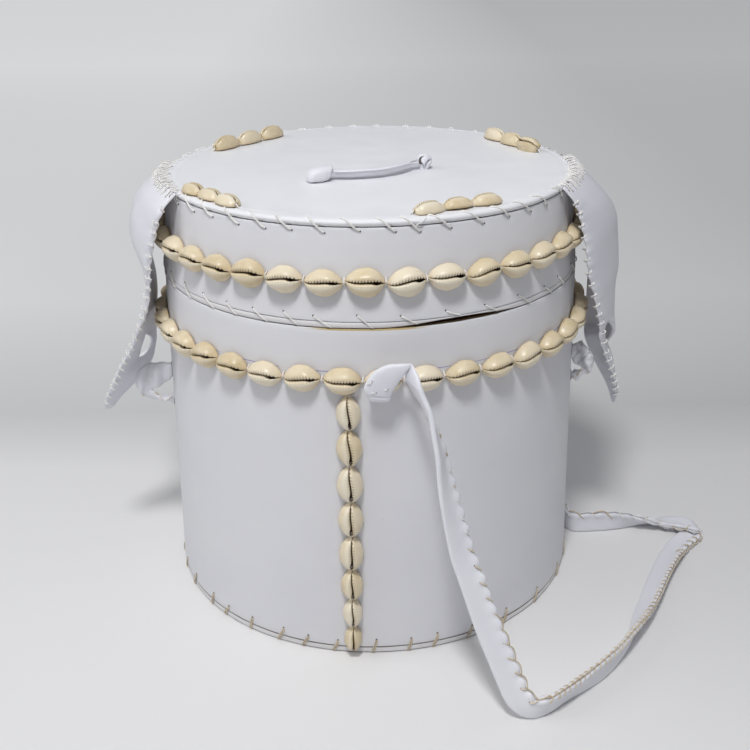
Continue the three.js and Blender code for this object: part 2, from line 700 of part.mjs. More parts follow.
// Tied end of the handle: a lump on the lid beside the end of the strip, a stem through the lid
// top and a knot beneath it. The side is -1 at the left end and 1 at the right end.
function handleEnd({ place, side, halfLength, halfWidth, height }) {
  const lumpFloor = LID_TOP_HEIGHT + GAP;
  const middle = side * (halfLength + GAP);
  const outline = new THREE.Shape();
  outline.absellipse(middle, 0, halfLength, halfWidth, 0, 2 * Math.PI);
  const bevel = 1.6;
  const lump = new THREE.ExtrudeGeometry(outline, {
    depth: height - 2 * bevel,
    bevelThickness: bevel,
    bevelSize: bevel,
    bevelOffset: -bevel,
    bevelSegments: 1,
    curveSegments: 6,
  }).translate(0, 0, lumpFloor + bevel);
  const knotTop = lidLiningFoot() - GAP;
  const knotMiddle = knotTop - HANDLE_KNOT.halfHeight;
  const stemHigh = lumpFloor + height / 2;
  const stem = new THREE.CylinderGeometry(HANDLE_STEM_RADIUS, HANDLE_STEM_RADIUS, stemHigh - knotMiddle, 8)
    .rotateX(Math.PI / 2)
    .translate(middle, 0, (knotMiddle + stemHigh) / 2);
  const knot = knotLump(HANDLE_KNOT.halfLength, HANDLE_KNOT.halfWidth, HANDLE_KNOT.halfHeight)
    .translate(middle, 0, knotMiddle);
  const body = [stem, knot].reduce((whole, piece) => whole.add(solid(piece)), solid(lump));
  return geometryOf(body).rotateZ(handleTurn()).translate(place.x, place.y, 0);
}

// Heights of the layers of the lid top, from the leather down.
function lidBoardTop() {
  return LID_TOP_HEIGHT - LEATHER - GAP;
}

function lidLiningTop() {
  return lidBoardTop() - BOARD - GAP;
}

function lidLiningFoot() {
  return lidLiningTop() - LINING;
}

// Holes through the lid top for the two ends of the handle.
function lidTopHoles() {
  const radius = HANDLE_STEM_RADIUS + 0.5;
  const reach = 40;
  return [HANDLE_LEFT_END, HANDLE_RIGHT_END].map(({ place, side, halfLength }) => {
    const hole = new THREE.CylinderGeometry(radius, radius, reach, 8)
      .rotateX(Math.PI / 2)
      .translate(side * (halfLength + GAP), 0, LID_TOP_HEIGHT)
      .rotateZ(handleTurn())
      .translate(place.x, place.y, 0);
    return solid(hole);
  });
}

// A flap: doubled leather that follows three guide lines, front edge, belly and rear edge.
// The side is -1 on the left and 1 on the right.
function flapSheet(rows, side) {
  const guides = [0, 1, 2].map((column) => new THREE.CatmullRomCurve3(
    rows.map((row) => new THREE.Vector3(side * row[column][0], row[column][1], row[column][2])),
    false,
    'centripetal',
  ));
  return (across, along) => {
    const [front, belly, rear] = guides.map((guide) => guide.getPoint(along));
    return new THREE.Vector3()
      .addScaledVector(front, 2 * (across - 0.5) * (across - 1))
      .addScaledVector(belly, 4 * across * (1 - across))
      .addScaledVector(rear, 2 * across * (across - 0.5));
  };
}

// Outward normal of a flap sheet at a place.
function sheetNormal(sheet, across, along, side) {
  const step = 0.01;
  const u0 = Math.max(0, across - step);
  const u1 = Math.min(1, across + step);
  const v0 = Math.max(0, along - step);
  const v1 = Math.min(1, along + step);
  const du = sheet(u1, along).sub(sheet(u0, along));
  const dv = sheet(across, v1).sub(sheet(across, v0));
  const normal = new THREE.Vector3().crossVectors(du, dv).normalize();
  return normal.x * side < 0 ? normal.negate() : normal;
}

// Lens-shaped cutter for the buttonhole, set square to the sheet.
function buttonhole(sheet, side) {
  const { across, along } = SLIT_PLACE;
  const outline = new THREE.Shape();
  outline.moveTo(-SLIT_LENGTH / 2, 0);
  outline.quadraticCurveTo(0, SLIT_WIDTH, SLIT_LENGTH / 2, 0);
  outline.quadraticCurveTo(0, -SLIT_WIDTH, -SLIT_LENGTH / 2, 0);
  const depth = 4 * FLAP_THICKNESS;
  const cutter = new THREE.ExtrudeGeometry(outline, { depth, bevelEnabled: false, curveSegments: 6 });
  cutter.translate(0, 0, -depth / 2);
  const normal = sheetNormal(sheet, across, along, side);
  const down = sheet(across, along + 0.03).sub(sheet(across - 0.06, along - 0.03));
  down.addScaledVector(normal, -down.dot(normal)).normalize();
  const sideways = new THREE.Vector3().crossVectors(normal, down);
  cutter.applyMatrix4(new THREE.Matrix4().makeBasis(down, sideways, normal));
  const place = sheet(across, along);
  return solid(cutter.translate(place.x, place.y, place.z));
}

// The whole flap, with its buttonhole.
function flap(rows, side) {
  const sheet = flapSheet(rows, side);
  const rings = [];
  for (let j = 0; j <= FLAP_STEPS_ALONG; j += 1) {
    const along = j / FLAP_STEPS_ALONG;
    const outside = [];
    const inside = [];
    for (let i = 0; i <= FLAP_STEPS_ACROSS; i += 1) {
      const across = i / FLAP_STEPS_ACROSS;
      const place = sheet(across, along);
      const normal = sheetNormal(sheet, across, along, side);
      outside.push(place.clone().addScaledVector(normal, FLAP_THICKNESS / 2));
      inside.push(place.clone().addScaledVector(normal, -FLAP_THICKNESS / 2));
    }
    rings.push([...outside, ...inside.reverse()]);
  }
  return cut(stripEnds(rings), [buttonhole(sheet, side)]);
}

// Skin over rings that are long and thin: the ends are closed by strips from face to face.
function stripEnds(rings) {
  const sides = rings[0].length;
  const positions = rings.flat().flatMap((p) => [p.x, p.y, p.z]);
  const index = [];
  for (let i = 0; i < rings.length - 1; i += 1) {
    for (let j = 0; j < sides; j += 1) {
      const a = i * sides + j;
      const b = i * sides + ((j + 1) % sides);
      index.push(a, b, a + sides, b, b + sides, a + sides);
    }
  }
  const lastRing = (rings.length - 1) * sides;
  for (let j = 0; j < sides / 2 - 1; j += 1) {
    const opposite = sides - 1 - j;
    index.push(j, opposite, j + 1, j + 1, opposite, opposite - 1);
    index.push(lastRing + j, lastRing + j + 1, lastRing + opposite);
    index.push(lastRing + j + 1, lastRing + opposite - 1, lastRing + opposite);
  }
  const geometry = new THREE.BufferGeometry();
  geometry.setAttribute('position', new THREE.Float32BufferAttribute(positions, 3));
  geometry.setIndex(index);
  return closed(geometry);
}

const container = new THREE.Group();

function addPiece(name, geometry, material, parent = container) {
  const mesh = new THREE.Mesh(geometry, material);
  mesh.name = name;
  parent.add(mesh);
  return mesh;
}

// Base and wall of the body.
function addBody() {
  const openings = bodyOpenings();
  const wallTop = BODY_RIM_HEIGHT - 0.6;
  const wallFoot = BASE_LEATHER + GAP;
  const boardRadius = wallRadius(BASE_BOARD_TOP) - LINING_INSET;
  const liningRadius = boardRadius - LINING - BASE_LINING_CLEARANCE;
  const core = wallLayer(CORE_INSET, BOARD, wallFoot, wallTop);
  const cover = wallLayer(0, LEATHER, BASE_EDGE_HEIGHT + GAP, BODY_RIM_HEIGHT);
  const lining = wallLayer(LINING_INSET, LINING, BASE_LINING_TOP + GAP, wallTop);
  addPiece('base_cover', baseCover(), whiteLeather());
  addPiece('base_board', disc(boardRadius, wallFoot, BASE_BOARD_TOP), rawBoard());
  addPiece('base_lining', disc(liningRadius, BASE_BOARD_TOP + GAP, BASE_LINING_TOP), liningCloth());
  addPiece('body_wall_core', cut(core, openings), rawBoard());
  addPiece('body_wall_cover', cut(cover, openings), whiteLeather());
  addPiece('body_lining', cut(lining, openings), liningCloth());
  addPiece('inner_collar', innerCollar(), collarLeather());
}

// Shells on the body: the string round it and the row down the front.
function addBodyShells() {
  const string = cowrieString(BODY_STRING_HEIGHT, BODY_STRING_START);
  addPiece('body_cowrie_string', string, shellEnamel());
  const spacing = 0.7;
  let top = FRONT_ROW_TOP;
  FRONT_SHELLS.forEach(([length, width], i) => {
    const middle = top - length / 2;
    const place = new THREE.Group();
    place.rotation.z = degrees(FRONT_ROW_AZIMUTH);
    container.add(place);
    const shape = cowrie(length, width, SHELL_HEIGHT);
    const shell = addPiece(`front_cowrie_${i + 1}`, shape, shellEnamel(), place);
    shell.position.set(wallRadius(middle) + GAP + 0.1, 0, middle);
    shell.rotation.y = Math.PI / 2 - wallLean(middle);
    top -= length + spacing;
  });
}

// Strap, its two knots and the two toggles.
function addFastenings() {
  addPiece('strap_front_knot', strapKnot(KNOT_AZIMUTH), whiteLeather());
  addPiece('strap_rear_knot', strapKnot(KNOT_AZIMUTH + 180), whiteLeather());
  addPiece('carrying_strap', carryingStrap(), whiteLeather());
  addPiece('left_toggle', toggleLoop(LEFT_TOGGLE), whiteLeather());
  addPiece('right_toggle', toggleLoop(RIGHT_TOGGLE), whiteLeather());
}

// Layers of the lid.
function addLid() {
  const holes = lidTopHoles();
  const wallTop = LID_TOP_HEIGHT - ROLLED_EDGE_DEPTH - GAP;
  const boardRadius = wallRadius(wallTop) - LINING_INSET - GAP;
  const liningRadius = boardRadius - 1.6;
  const board = disc(boardRadius, lidBoardTop() - BOARD, lidBoardTop());
  const topLining = disc(liningRadius, lidLiningFoot(), lidLiningTop());
  const wallLining = wallLayer(LINING_INSET, LINING, LID_FOOT_HEIGHT, lidLiningFoot() - GAP);
  addPiece('lid_top_cover', cut(lidTopCover(), holes), whiteLeather());
  addPiece('lid_top_board', cut(board, holes), rawBoard());
  addPiece('lid_top_lining', cut(topLining, holes), liningCloth());
  addPiece('lid_wall_core', wallLayer(CORE_INSET, BOARD, LID_FOOT_HEIGHT, wallTop), rawBoard());
  addPiece('lid_wall_cover', wallLayer(0, LEATHER, LID_FOOT_HEIGHT, wallTop), whiteLeather());
  addPiece('lid_wall_lining', wallLining, liningCloth());
  addPiece('lid_rim_binding', lidRimBinding(), whiteLeather());
  addPiece('lid_cowrie_string', cowrieString(LID_STRING_HEIGHT, LID_STRING_START), shellEnamel());
}

// Four groups of three shells on the lid, each on a straight line.
function addTopShells() {
  let number = 1;
  TOP_GROUPS.forEach(({ azimuth, radius, spacing, height }) => {
    const group = new THREE.Group();
    group.rotation.z = degrees(azimuth);
    group.position.z = LID_TOP_HEIGHT + GAP;
    container.add(group);
    [-1, 0, 1].forEach((place) => {
      const shape = cowrie(spacing - TOP_SHELL_GAP, TOP_SHELL_WIDTH, height);
      const shell = addPiece(`lid_cowrie_${number}`, shape, shellEnamel(), group);
      shell.position.set(radius, place * spacing, 0);
      shell.rotation.z = Math.PI / 2;
      number += 1;
    });
  });
}

// Handle and flaps, the pieces that move on the lid.
function addLidLeather() {
  addPiece('handle_strip', handleStrip(), whiteLeather());
  addPiece('handle_left_wrap', handleEnd(HANDLE_LEFT_END), whiteLeather());
  addPiece('handle_right_knot', handleEnd(HANDLE_RIGHT_END), whiteLeather());
  addPiece('left_flap', flap(LEFT_FLAP_ROWS, -1), whiteLeather());
  addPiece('right_flap', flap(RIGHT_FLAP_ROWS, 1), whiteLeather());
}

addBody();
addBodyShells();
addFastenings();
addLid();
addTopShells();
addLidLeather();

export default container;
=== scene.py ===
# %% [markdown]
# # A lidded divination container
# The object is a round box of board, covered in white leather and trimmed with cowrie shells.
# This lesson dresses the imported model, piece by piece, with the shapes and finishes that a
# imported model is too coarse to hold. Sizes are in millimetres until a mesh is made.

import math

import bmesh
import bpy
import numpy as np
from mathutils import Matrix, Vector


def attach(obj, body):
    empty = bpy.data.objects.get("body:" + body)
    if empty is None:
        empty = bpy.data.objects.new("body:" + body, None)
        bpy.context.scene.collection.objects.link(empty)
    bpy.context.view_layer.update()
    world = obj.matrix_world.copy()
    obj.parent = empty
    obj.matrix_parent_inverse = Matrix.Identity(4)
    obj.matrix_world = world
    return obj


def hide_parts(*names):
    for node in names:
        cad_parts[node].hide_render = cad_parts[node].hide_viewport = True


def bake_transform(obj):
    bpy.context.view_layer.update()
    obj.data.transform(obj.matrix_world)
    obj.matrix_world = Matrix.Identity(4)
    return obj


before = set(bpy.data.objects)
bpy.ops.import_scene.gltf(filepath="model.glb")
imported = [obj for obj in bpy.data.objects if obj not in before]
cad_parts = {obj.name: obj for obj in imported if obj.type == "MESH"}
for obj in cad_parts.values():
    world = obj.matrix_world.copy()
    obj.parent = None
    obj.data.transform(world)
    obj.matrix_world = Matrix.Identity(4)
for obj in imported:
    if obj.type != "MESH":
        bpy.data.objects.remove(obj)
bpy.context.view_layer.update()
scene = bpy.context.scene
MM = 0.001

# %% [markdown]
# ## The camera
# The eye stands in front of the box and looks down at it by 24 degrees. A lens of 50 mm on a
# 36 mm sensor gives the gentle perspective of the real view. A small roll levels the box as it
# lies there.

# %% Camera
LENS = 50.344
EYE = Vector((0, -0.6381, 0.4110))
DIP, TURN, ROLL = 0.4244, 0.0032, -0.0136

forward = Vector((math.sin(TURN) * math.cos(DIP), math.cos(TURN) * math.cos(DIP), -math.sin(DIP)))
level = Vector((math.cos(TURN), -math.sin(TURN), 0))
upright = level.cross(forward)
camera_right = level * math.cos(ROLL) + upright * math.sin(ROLL)
camera_up = upright * math.cos(ROLL) - level * math.sin(ROLL)
camera_data = bpy.data.cameras.new("camera")
camera_data.lens = LENS
camera_data.sensor_width = 36
camera = bpy.data.objects.new("camera", camera_data)
scene.collection.objects.link(camera)
axes = Matrix((camera_right, camera_up, -forward)).transposed()
camera.matrix_world = Matrix.Translation(EYE) @ axes.to_4x4()
scene.camera = camera
print("camera at", [round(v, 3) for v in EYE])

# %% [markdown]
# ## Small tools for making shapes
# Most pieces here are skins over rows of points: leather bent round a wall, a strap along its
# route, thread through holes. Writing the rows with numpy keeps each piece short, and lets one
# add puckers and ripples as plain sums.

# %% Points, rows and skins
UP = np.array([0.0, 0.0, 1.0])


def unit(vectors):
    """The same directions with length 1."""
    vectors = np.asarray(vectors, float)
    return vectors / np.maximum(np.linalg.norm(vectors, axis=-1, keepdims=True), 1e-12)


def grid(rows, columns, round_rows=False, round_columns=False):
    """Quads between the points of a grid, which may close on itself either way."""
    r = np.arange(rows if round_rows else rows - 1)[:, None]
    c = np.arange(columns if round_columns else columns - 1)[None, :]
    r2, c2 = (r + 1) % rows, (c + 1) % columns
    corners = [r * columns + c, r * columns + c2, r2 * columns + c2, r2 * columns + c]
    return np.stack(np.broadcast_arrays(*corners), -1).reshape(-1, 4)


def through(points, parts):
    """A smooth curve through points, with so many samples in each span."""
    p = np.asarray(points, float)
    p = np.vstack([2 * p[0] - p[1], p, 2 * p[-1] - p[-2]])
    parts = np.broadcast_to(parts, len(p) - 3)
    rows = []
    for (a, b, c, d), count in zip(zip(p, p[1:], p[2:], p[3:]), parts):
        ab, bc, cd = [max(np.linalg.norm(v) ** 0.5, 1e-4) for v in (b - a, c - b, d - c)]
        start = ((b - a) / ab - (c - a) / (ab + bc) + (c - b) / bc) * bc
        end = ((c - b) / bc - (d - b) / (bc + cd) + (d - c) / cd) * bc
        t = (np.arange(count) / count)[:, None]
        rows.append(
            b + start * t + (3 * c - 3 * b - 2 * start - end) * t**2
            + (2 * b - 2 * c + start + end) * t**3
        )
    return np.vstack([*rows, p[-2:-1]])


def lengths(line):
    """How far along a line each of its points is."""
    return np.concatenate([[0], np.cumsum(np.linalg.norm(np.diff(line, axis=0), axis=1))])


def evenly(line, step):
    """The same line with points a step apart."""
    along = lengths(line)
    count = max(2, round(along[-1] / step) + 1)
    places = np.linspace(0, along[-1], count)
    return np.stack([np.interp(places, along, line[:, i]) for i in range(3)], -1)


def waves(points, size, seed):
    """Smooth unevenness from about -1 to 1, with bumps of about this size, the same each run."""
    rng = np.random.default_rng(seed)
    total = 0
    for _ in range(7):
        direction = unit(rng.normal(size=3)) * 2 * np.pi / (size * rng.uniform(0.7, 1.6))
        total = total + np.sin(points @ direction + rng.uniform(0, 2 * np.pi))
    return total / 3.7


def circle(count):
    """The angles of so many points round a circle, in radians."""
    return np.arange(count) / count * 2 * np.pi


class Clay:
    """Points and faces gathered in millimetres before they become one piece."""

    def __init__(self):
        self.points, self.faces, self.finishes, self.values, self.count = [], [], [], {}, 0

    def add(self, points, faces, finish=0, **values):
        """Adds points and the faces between them, with values that the points carry."""
        points = np.asarray(points, float).reshape(-1, 3)
        faces = [[int(i) + self.count for i in face] for face in faces]
        for name in set(self.values) | set(values):
            rows = self.values.setdefault(name, [np.zeros(self.count)])
            rows.append(np.broadcast_to(values.get(name, 0.0), len(points)).astype(float))
        self.points.append(points)
        self.faces += faces
        self.finishes += [finish] * len(faces)
        self.count += len(points)
        return self

    def closed(self, rings, finish=0, **values):
        """Adds a closed skin over rings of points, with a flat face at each end."""
        rows, columns = np.shape(rings)[:2]
        faces = grid(rows, columns, round_columns=True).tolist()
        faces.append(list(range(columns))[::-1])
        faces.append([(rows - 1) * columns + i for i in range(columns)])
        return self.add(rings, faces, finish, **values)


def make(name, clay, finishes, body, replaced=()):
    """Makes the piece from its clay, with its finishes, and lets it ride on its body if it has one."""
    mesh = bpy.data.meshes.new(name)
    points = np.vstack(clay.points) * MM
    mesh.from_pydata(points.tolist(), [], clay.faces)
    for value_name, rows in clay.values.items():
        attribute = mesh.attributes.new(value_name, "FLOAT", "POINT")
        attribute.data.foreach_set("value", np.concatenate(rows).astype(np.float32))
    for finish in finishes:
        mesh.materials.append(finish)
    mesh.polygons.foreach_set("material_index", np.array(clay.finishes, np.int32))
    mesh.polygons.foreach_set("use_smooth", np.full(len(mesh.polygons), True))
    draft = bmesh.new()
    draft.from_mesh(mesh)
    bmesh.ops.recalc_face_normals(draft, faces=draft.faces)
    draft.to_mesh(mesh)
    draft.free()
    mesh.update()
    piece = bpy.data.objects.new(name, mesh)
    scene.collection.objects.link(piece)
    if body:
        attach(piece, body)
    if replaced:
        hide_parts(*replaced)
    print(name, len(mesh.polygons), "faces")
    return piece


# %% [markdown]
# ## Finishes
# The white leather is smooth and coated, with a fine grain, a faint lilac tint and a little
# handling grime. A node material works in the leather itself, so it needs no unwrapping and
# stays the same on every bent piece.

# %% Node helpers
def new_finish(name, roughness=0.5, specular=0.5):
    """A material with its shader and a point in the object's own space."""
    material = bpy.data.materials.new(name)
    material.use_nodes = True
    tree = material.node_tree
    shader = tree.nodes["Principled BSDF"]
    shader.inputs["Roughness"].default_value = roughness
    shader.inputs["Specular IOR Level"].default_value = specular
    place = tree.nodes.new("ShaderNodeTexCoord").outputs["Object"]
    return material, tree, shader, place


def noise(tree, place, scale, detail=2.0, roughness=0.5):
    """Cloudy pattern, from 0 to 1, with so many clouds in a metre."""
    node = tree.nodes.new("ShaderNodeTexNoise")
    node.inputs["Scale"].default_value = scale
    node.inputs["Detail"].default_value = detail
    node.inputs["Roughness"].default_value = roughness
    tree.links.new(place, node.inputs["Vector"])
    return node.outputs["Fac"]


def cells(tree, place, scale):
    """Pebbled pattern of rounded cells, with so many cells in a metre."""
    node = tree.nodes.new("ShaderNodeTexVoronoi")
    node.feature = "SMOOTH_F1"
    node.inputs["Scale"].default_value = scale
    node.inputs["Smoothness"].default_value = 0.6
    tree.links.new(place, node.inputs["Vector"])
    return node.outputs["Distance"]


def ramp(tree, value, *stops):
    """Colours at stops along a value: each stop is (value, (red, green, blue))."""
    node = tree.nodes.new("ShaderNodeValToRGB")
    while len(node.color_ramp.elements) < len(stops):
        node.color_ramp.elements.new(1.0)
    for element, (at, color) in zip(node.color_ramp.elements, stops):
        element.position = at
        element.color = (*color, 1)
    tree.links.new(value, node.inputs["Fac"])
    return node.outputs["Color"]


def mixed(tree, first, second, share, way="MIX"):
    """Two colours mixed. Each may be a socket or three numbers, and share a socket or number."""
    node = tree.nodes.new("ShaderNodeMix")
    node.data_type = "RGBA"
    node.blend_type = way
    for socket, value in ((node.inputs[6], first), (node.inputs[7], second)):
        if isinstance(value, tuple):
            socket.default_value = (*value, 1)
        else:
            tree.links.new(value, socket)
    if isinstance(share, float):
        node.inputs[0].default_value = share
    else:
        tree.links.new(share, node.inputs[0])
    return node.outputs[2]


def ranged(tree, value, low, high, to_low, to_high):
    """The value stretched from one range to another."""
    node = tree.nodes.new("ShaderNodeMapRange")
    for i, number in enumerate((low, high, to_low, to_high), 1):
        node.inputs[i].default_value = number
    tree.links.new(value, node.inputs[0])
    return node.outputs[0]


def painted(tree, name):
    """A value that the mesh carries at its points."""
    node = tree.nodes.new("ShaderNodeAttribute")
    node.attribute_name = name
    return node.outputs["Fac"]


def relief(tree, shader, *layers):
    """Bump from patterns, each (pattern, strength, depth in millimetres)."""
    normal = None
    for pattern, strength, depth in layers:
        node = tree.nodes.new("ShaderNodeBump")
        node.inputs["Strength"].default_value = strength
        node.inputs["Distance"].default_value = depth * MM
        tree.links.new(pattern, node.inputs["Height"])
        if normal:
            tree.links.new(normal, node.inputs["Normal"])
        normal = node.outputs["Normal"]
    tree.links.new(normal, shader.inputs["Normal"])


# %% Lines across a finish
def joined(tree, way, first, second):
    """Two values put together by arithmetic."""
    node = tree.nodes.new("ShaderNodeMath")
    node.operation = way
    tree.links.new(first, node.inputs[0])
    tree.links.new(second, node.inputs[1])
    return node.outputs[0]


def times(tree, first, second):
    """Two values multiplied."""
    return joined(tree, "MULTIPLY", first, second)


def between_planes(tree, value, low, high, soft):
    """1 where a coordinate lies between two planes, given in millimetres, and 0 elsewhere."""
    above = ranged(tree, value, (low - soft) * MM, (low + soft) * MM, 0.0, 1.0)
    below = ranged(tree, value, (high - soft) * MM, (high + soft) * MM, 1.0, 0.0)
    return times(tree, above, below)


def coordinates(tree, place):
    """The three coordinates of a point, each as a value."""
    parts = tree.nodes.new("ShaderNodeSeparateXYZ")
    tree.links.new(place, parts.inputs[0])
    return parts.outputs


# %% White leather
def white_leather(name, light, shade, grime=0.35, bands=()):
    """Coated leather between two tints, with grain, faint creases and handling marks.

    Each band is a line round the piece between two heights. It shows in places, as a worn line
    does, unless it has ends, from left to right on the front, or is whole.
    """
    material, tree, shader, place = new_finish(name, specular=0.42)
    clouds = noise(tree, place, 14, 3, 0.55)
    base = ramp(tree, clouds, (0.3, shade), (0.7, light))
    specks = noise(tree, place, 120, 8, 0.72)
    marks = ranged(tree, specks, 0.66, 0.8, 0.0, grime)
    color = mixed(tree, base, (0.46, 0.43, 0.40), marks)
    for band in bands:
        x, y, z = coordinates(tree, place)
        line = between_planes(tree, z, *band["heights"], 0.12)
        if "ends" in band:
            front = ranged(tree, y, 0.0, -1.0 * MM, 0.0, 1.0)
            line = times(tree, times(tree, line, front), between_planes(tree, x, *band["ends"], 6))
        elif "whole" not in band:
            line = times(tree, line, ranged(tree, noise(tree, place, 34, 3), 0.42, 0.5, 0.0, 1.0))
        color = mixed(tree, color, band["color"], line)
    tree.links.new(color, shader.inputs["Base Color"])
    gloss = ranged(tree, noise(tree, place, 60, 5), 0.3, 0.7, 0.4, 0.55)
    tree.links.new(gloss, shader.inputs["Roughness"])
    relief(
        tree, shader,
        (noise(tree, place, 45, 4, 0.6), 0.25, 0.5),
        (cells(tree, place, 1300), 0.10, 0.12),
        (noise(tree, place, 420, 5, 0.7), 0.14, 0.12),
    )
    return material


# The walls take darker tints than the lid's top: painted shade, as the same leather gets less light on its
# sides than on top.
WALL_LIGHT, WALL_SHADE = (0.775, 0.775, 0.805), (0.74, 0.74, 0.775)
SEAM_BROWN = (0.25, 0.22, 0.20)
SEAM_LINE = {"heights": (3.8, 4.9), "color": SEAM_BROWN, "whole": True}
# A painted shadow where the base meets the floor.
FOOT_SHADOW = {"heights": (0.0, 0.7), "color": SEAM_BROWN, "whole": True}
PEN_LINE = {"heights": (182.0, 182.5), "color": (0.34, 0.31, 0.60)}
RAW_EDGE = {"heights": (205.9, 207.0), "color": (0.52, 0.41, 0.20), "ends": (-30, 26)}

shaded_wall_leather = white_leather("shaded_wall_leather", WALL_LIGHT, WALL_SHADE)
lit_top_leather = white_leather("lit_top_leather", (0.855, 0.86, 0.885), (0.825, 0.83, 0.86), 0.25)
# The soft leather is a little more lilac than the walls: partly its own tint, partly painted shade for the
# bluish cast of its shaded parts.
soft_leather = white_leather("soft_leather", (0.83, 0.83, 0.875), (0.79, 0.79, 0.85), 0.5)
edge_leather = white_leather(
    "edge_leather", (0.80, 0.79, 0.80), (0.70, 0.69, 0.70), 0.8, (SEAM_LINE, FOOT_SHADOW))
shaded_body_wall_leather = white_leather(
    "shaded_body_wall_leather", WALL_LIGHT, WALL_SHADE, bands=(PEN_LINE, RAW_EDGE, SEAM_LINE))
print("leather finishes made")


# %% [markdown]
# Cowries are thin porcelain-like shells: cream, yellower at the rim and whiter on the belly,
# with a dark slot between toothed lips; the slot's dark and the grooves between the teeth are
# painted shade. Each shell's own tint and how dark its slot is painted are values that its mesh
# carries, so one finish serves all of them.

# %% Cowrie, thread and inner finishes
def shell_finish():
    """Cream shell with blotches, freckles and a brown rim, and painted shade in its slot and between its
    teeth.
    """
    material, tree, shader, place = new_finish("cowrie", roughness=0.3, specular=0.5)
    tint = ramp(
        tree, painted(tree, "tint"),
        (0.0, (0.58, 0.45, 0.25)), (0.35, (0.71, 0.59, 0.38)),
        (0.7, (0.80, 0.70, 0.52)), (1.0, (0.86, 0.79, 0.64)),
    )
    blotches = ranged(tree, noise(tree, place, 130, 4, 0.6), 0.35, 0.7, 0.0, 0.6)
    color = mixed(tree, tint, (0.83, 0.735, 0.56), blotches)
    freckles = ranged(tree, noise(tree, place, 420, 2, 0.5), 0.74, 0.8, 0.0, 0.55)
    color = mixed(tree, color, (0.42, 0.25, 0.10), freckles)
    rim = ranged(tree, painted(tree, "rim"), 0.0, 1.0, 0.0, 0.6)
    color = mixed(tree, color, (0.54, 0.38, 0.18), rim)
    # Painted shade: the slot and the grooves between the teeth darken by the painted slot value.
    color = mixed(tree, color, (0.055, 0.03, 0.014), painted(tree, "slot"))
    tree.links.new(color, shader.inputs["Base Color"])
    gloss = ranged(tree, noise(tree, place, 300, 4), 0.3, 0.7, 0.26, 0.44)
    tree.links.new(gloss, shader.inputs["Roughness"])
    relief(tree, shader, (noise(tree, place, 260, 5, 0.6), 0.16, 0.15))
    return material


def thread_finish(name, light, dark):
    """Spun cotton: fine fibres, and a tint that changes along the thread."""
    material, tree, shader, place = new_finish(name, roughness=0.85, specular=0.2)
    base = ramp(tree, noise(tree, place, 90, 3), (0.3, dark), (0.7, light))
    fibres = noise(tree, place, 3200, 3, 0.7)
    color = mixed(tree, base, dark, ranged(tree, fibres, 0.45, 0.75, 0.0, 0.6))
    tree.links.new(color, shader.inputs["Base Color"])
    relief(tree, shader, (fibres, 0.4, 0.12))
    return material


def matt_finish(name, light, dark, coarse, fine, depth, roughness=0.9):
    """Raw board, the flesh side of leather, or the painted shade in a hole: clouds, fibres and a rough
    surface.
    """
    material, tree, shader, place = new_finish(name, roughness=roughness, specular=0.25)
    base = ramp(tree, noise(tree, place, coarse, 4, 0.6), (0.3, dark), (0.72, light))
    tree.links.new(base, shader.inputs["Base Color"])
    relief(tree, shader, (noise(tree, place, fine, 6, 0.7), 0.5, depth))
    return material


def woven_finish(name, light, dark, threads):
    """Plain cloth, with threads along and round it."""
    material, tree, shader, place = new_finish(name, roughness=0.92, specular=0.15)
    split = tree.nodes.new("ShaderNodeVectorMath")
    split.operation = "SINE"
    scaled = tree.nodes.new("ShaderNodeVectorMath")
    scaled.operation = "SCALE"
    scaled.inputs["Scale"].default_value = threads * 2 * math.pi
    tree.links.new(place, scaled.inputs[0])
    tree.links.new(scaled.outputs[0], split.inputs[0])
    x, y, z = coordinates(tree, split.outputs[0])
    value = ranged(tree, joined(tree, "ADD", times(tree, x, y), z), -1.6, 1.6, 0.0, 1.0)
    fuzz = noise(tree, place, 70, 4)
    color = mixed(tree, ramp(tree, value, (0.2, dark), (0.8, light)), dark,
                  ranged(tree, fuzz, 0.4, 0.8, 0.0, 0.6))
    tree.links.new(color, shader.inputs["Base Color"])
    relief(tree, shader, (value, 0.5, 0.3))
    return material


cowrie_shell = shell_finish()
white_thread = thread_finish("white_thread", (0.90, 0.89, 0.87), (0.78, 0.76, 0.73))
tan_thread = thread_finish("tan_thread", (0.76, 0.68, 0.54), (0.56, 0.47, 0.34))
pink_thread = thread_finish("pink_thread", (0.78, 0.60, 0.52), (0.55, 0.38, 0.30))
raw_board = matt_finish("raw_board", (0.47, 0.33, 0.18), (0.36, 0.24, 0.12), 30, 900, 0.2)
collar_leather = matt_finish(
    "collar_leather", (0.075, 0.034, 0.018), (0.04, 0.018, 0.01), 25, 500, 0.25, 0.6)
# hole_shade is painted shade: the dark of holes, slits and openings, where light does not reach.
hole_shade = matt_finish("hole_shade", (0.17, 0.15, 0.15), (0.09, 0.08, 0.08), 400, 2000, 0.05)
lining_cloth = woven_finish("lining_cloth", (0.17, 0.095, 0.052), (0.09, 0.048, 0.026), 420)
print("other finishes made")

# %% [markdown]
# ## The carrying strap
# The strap is a strip of leather folded in two along its length. One edge is the fold, and the
# other is sewn with an edge stitch that pulls the leather into puckers. It is limp: it hangs
# from the knot in front, runs away on its edge along the floor, is creased back on itself and
# climbs to the knot behind. A section swept along that route keeps its real length, and the
# puckers are a swelling of the section between one stitch and the next.

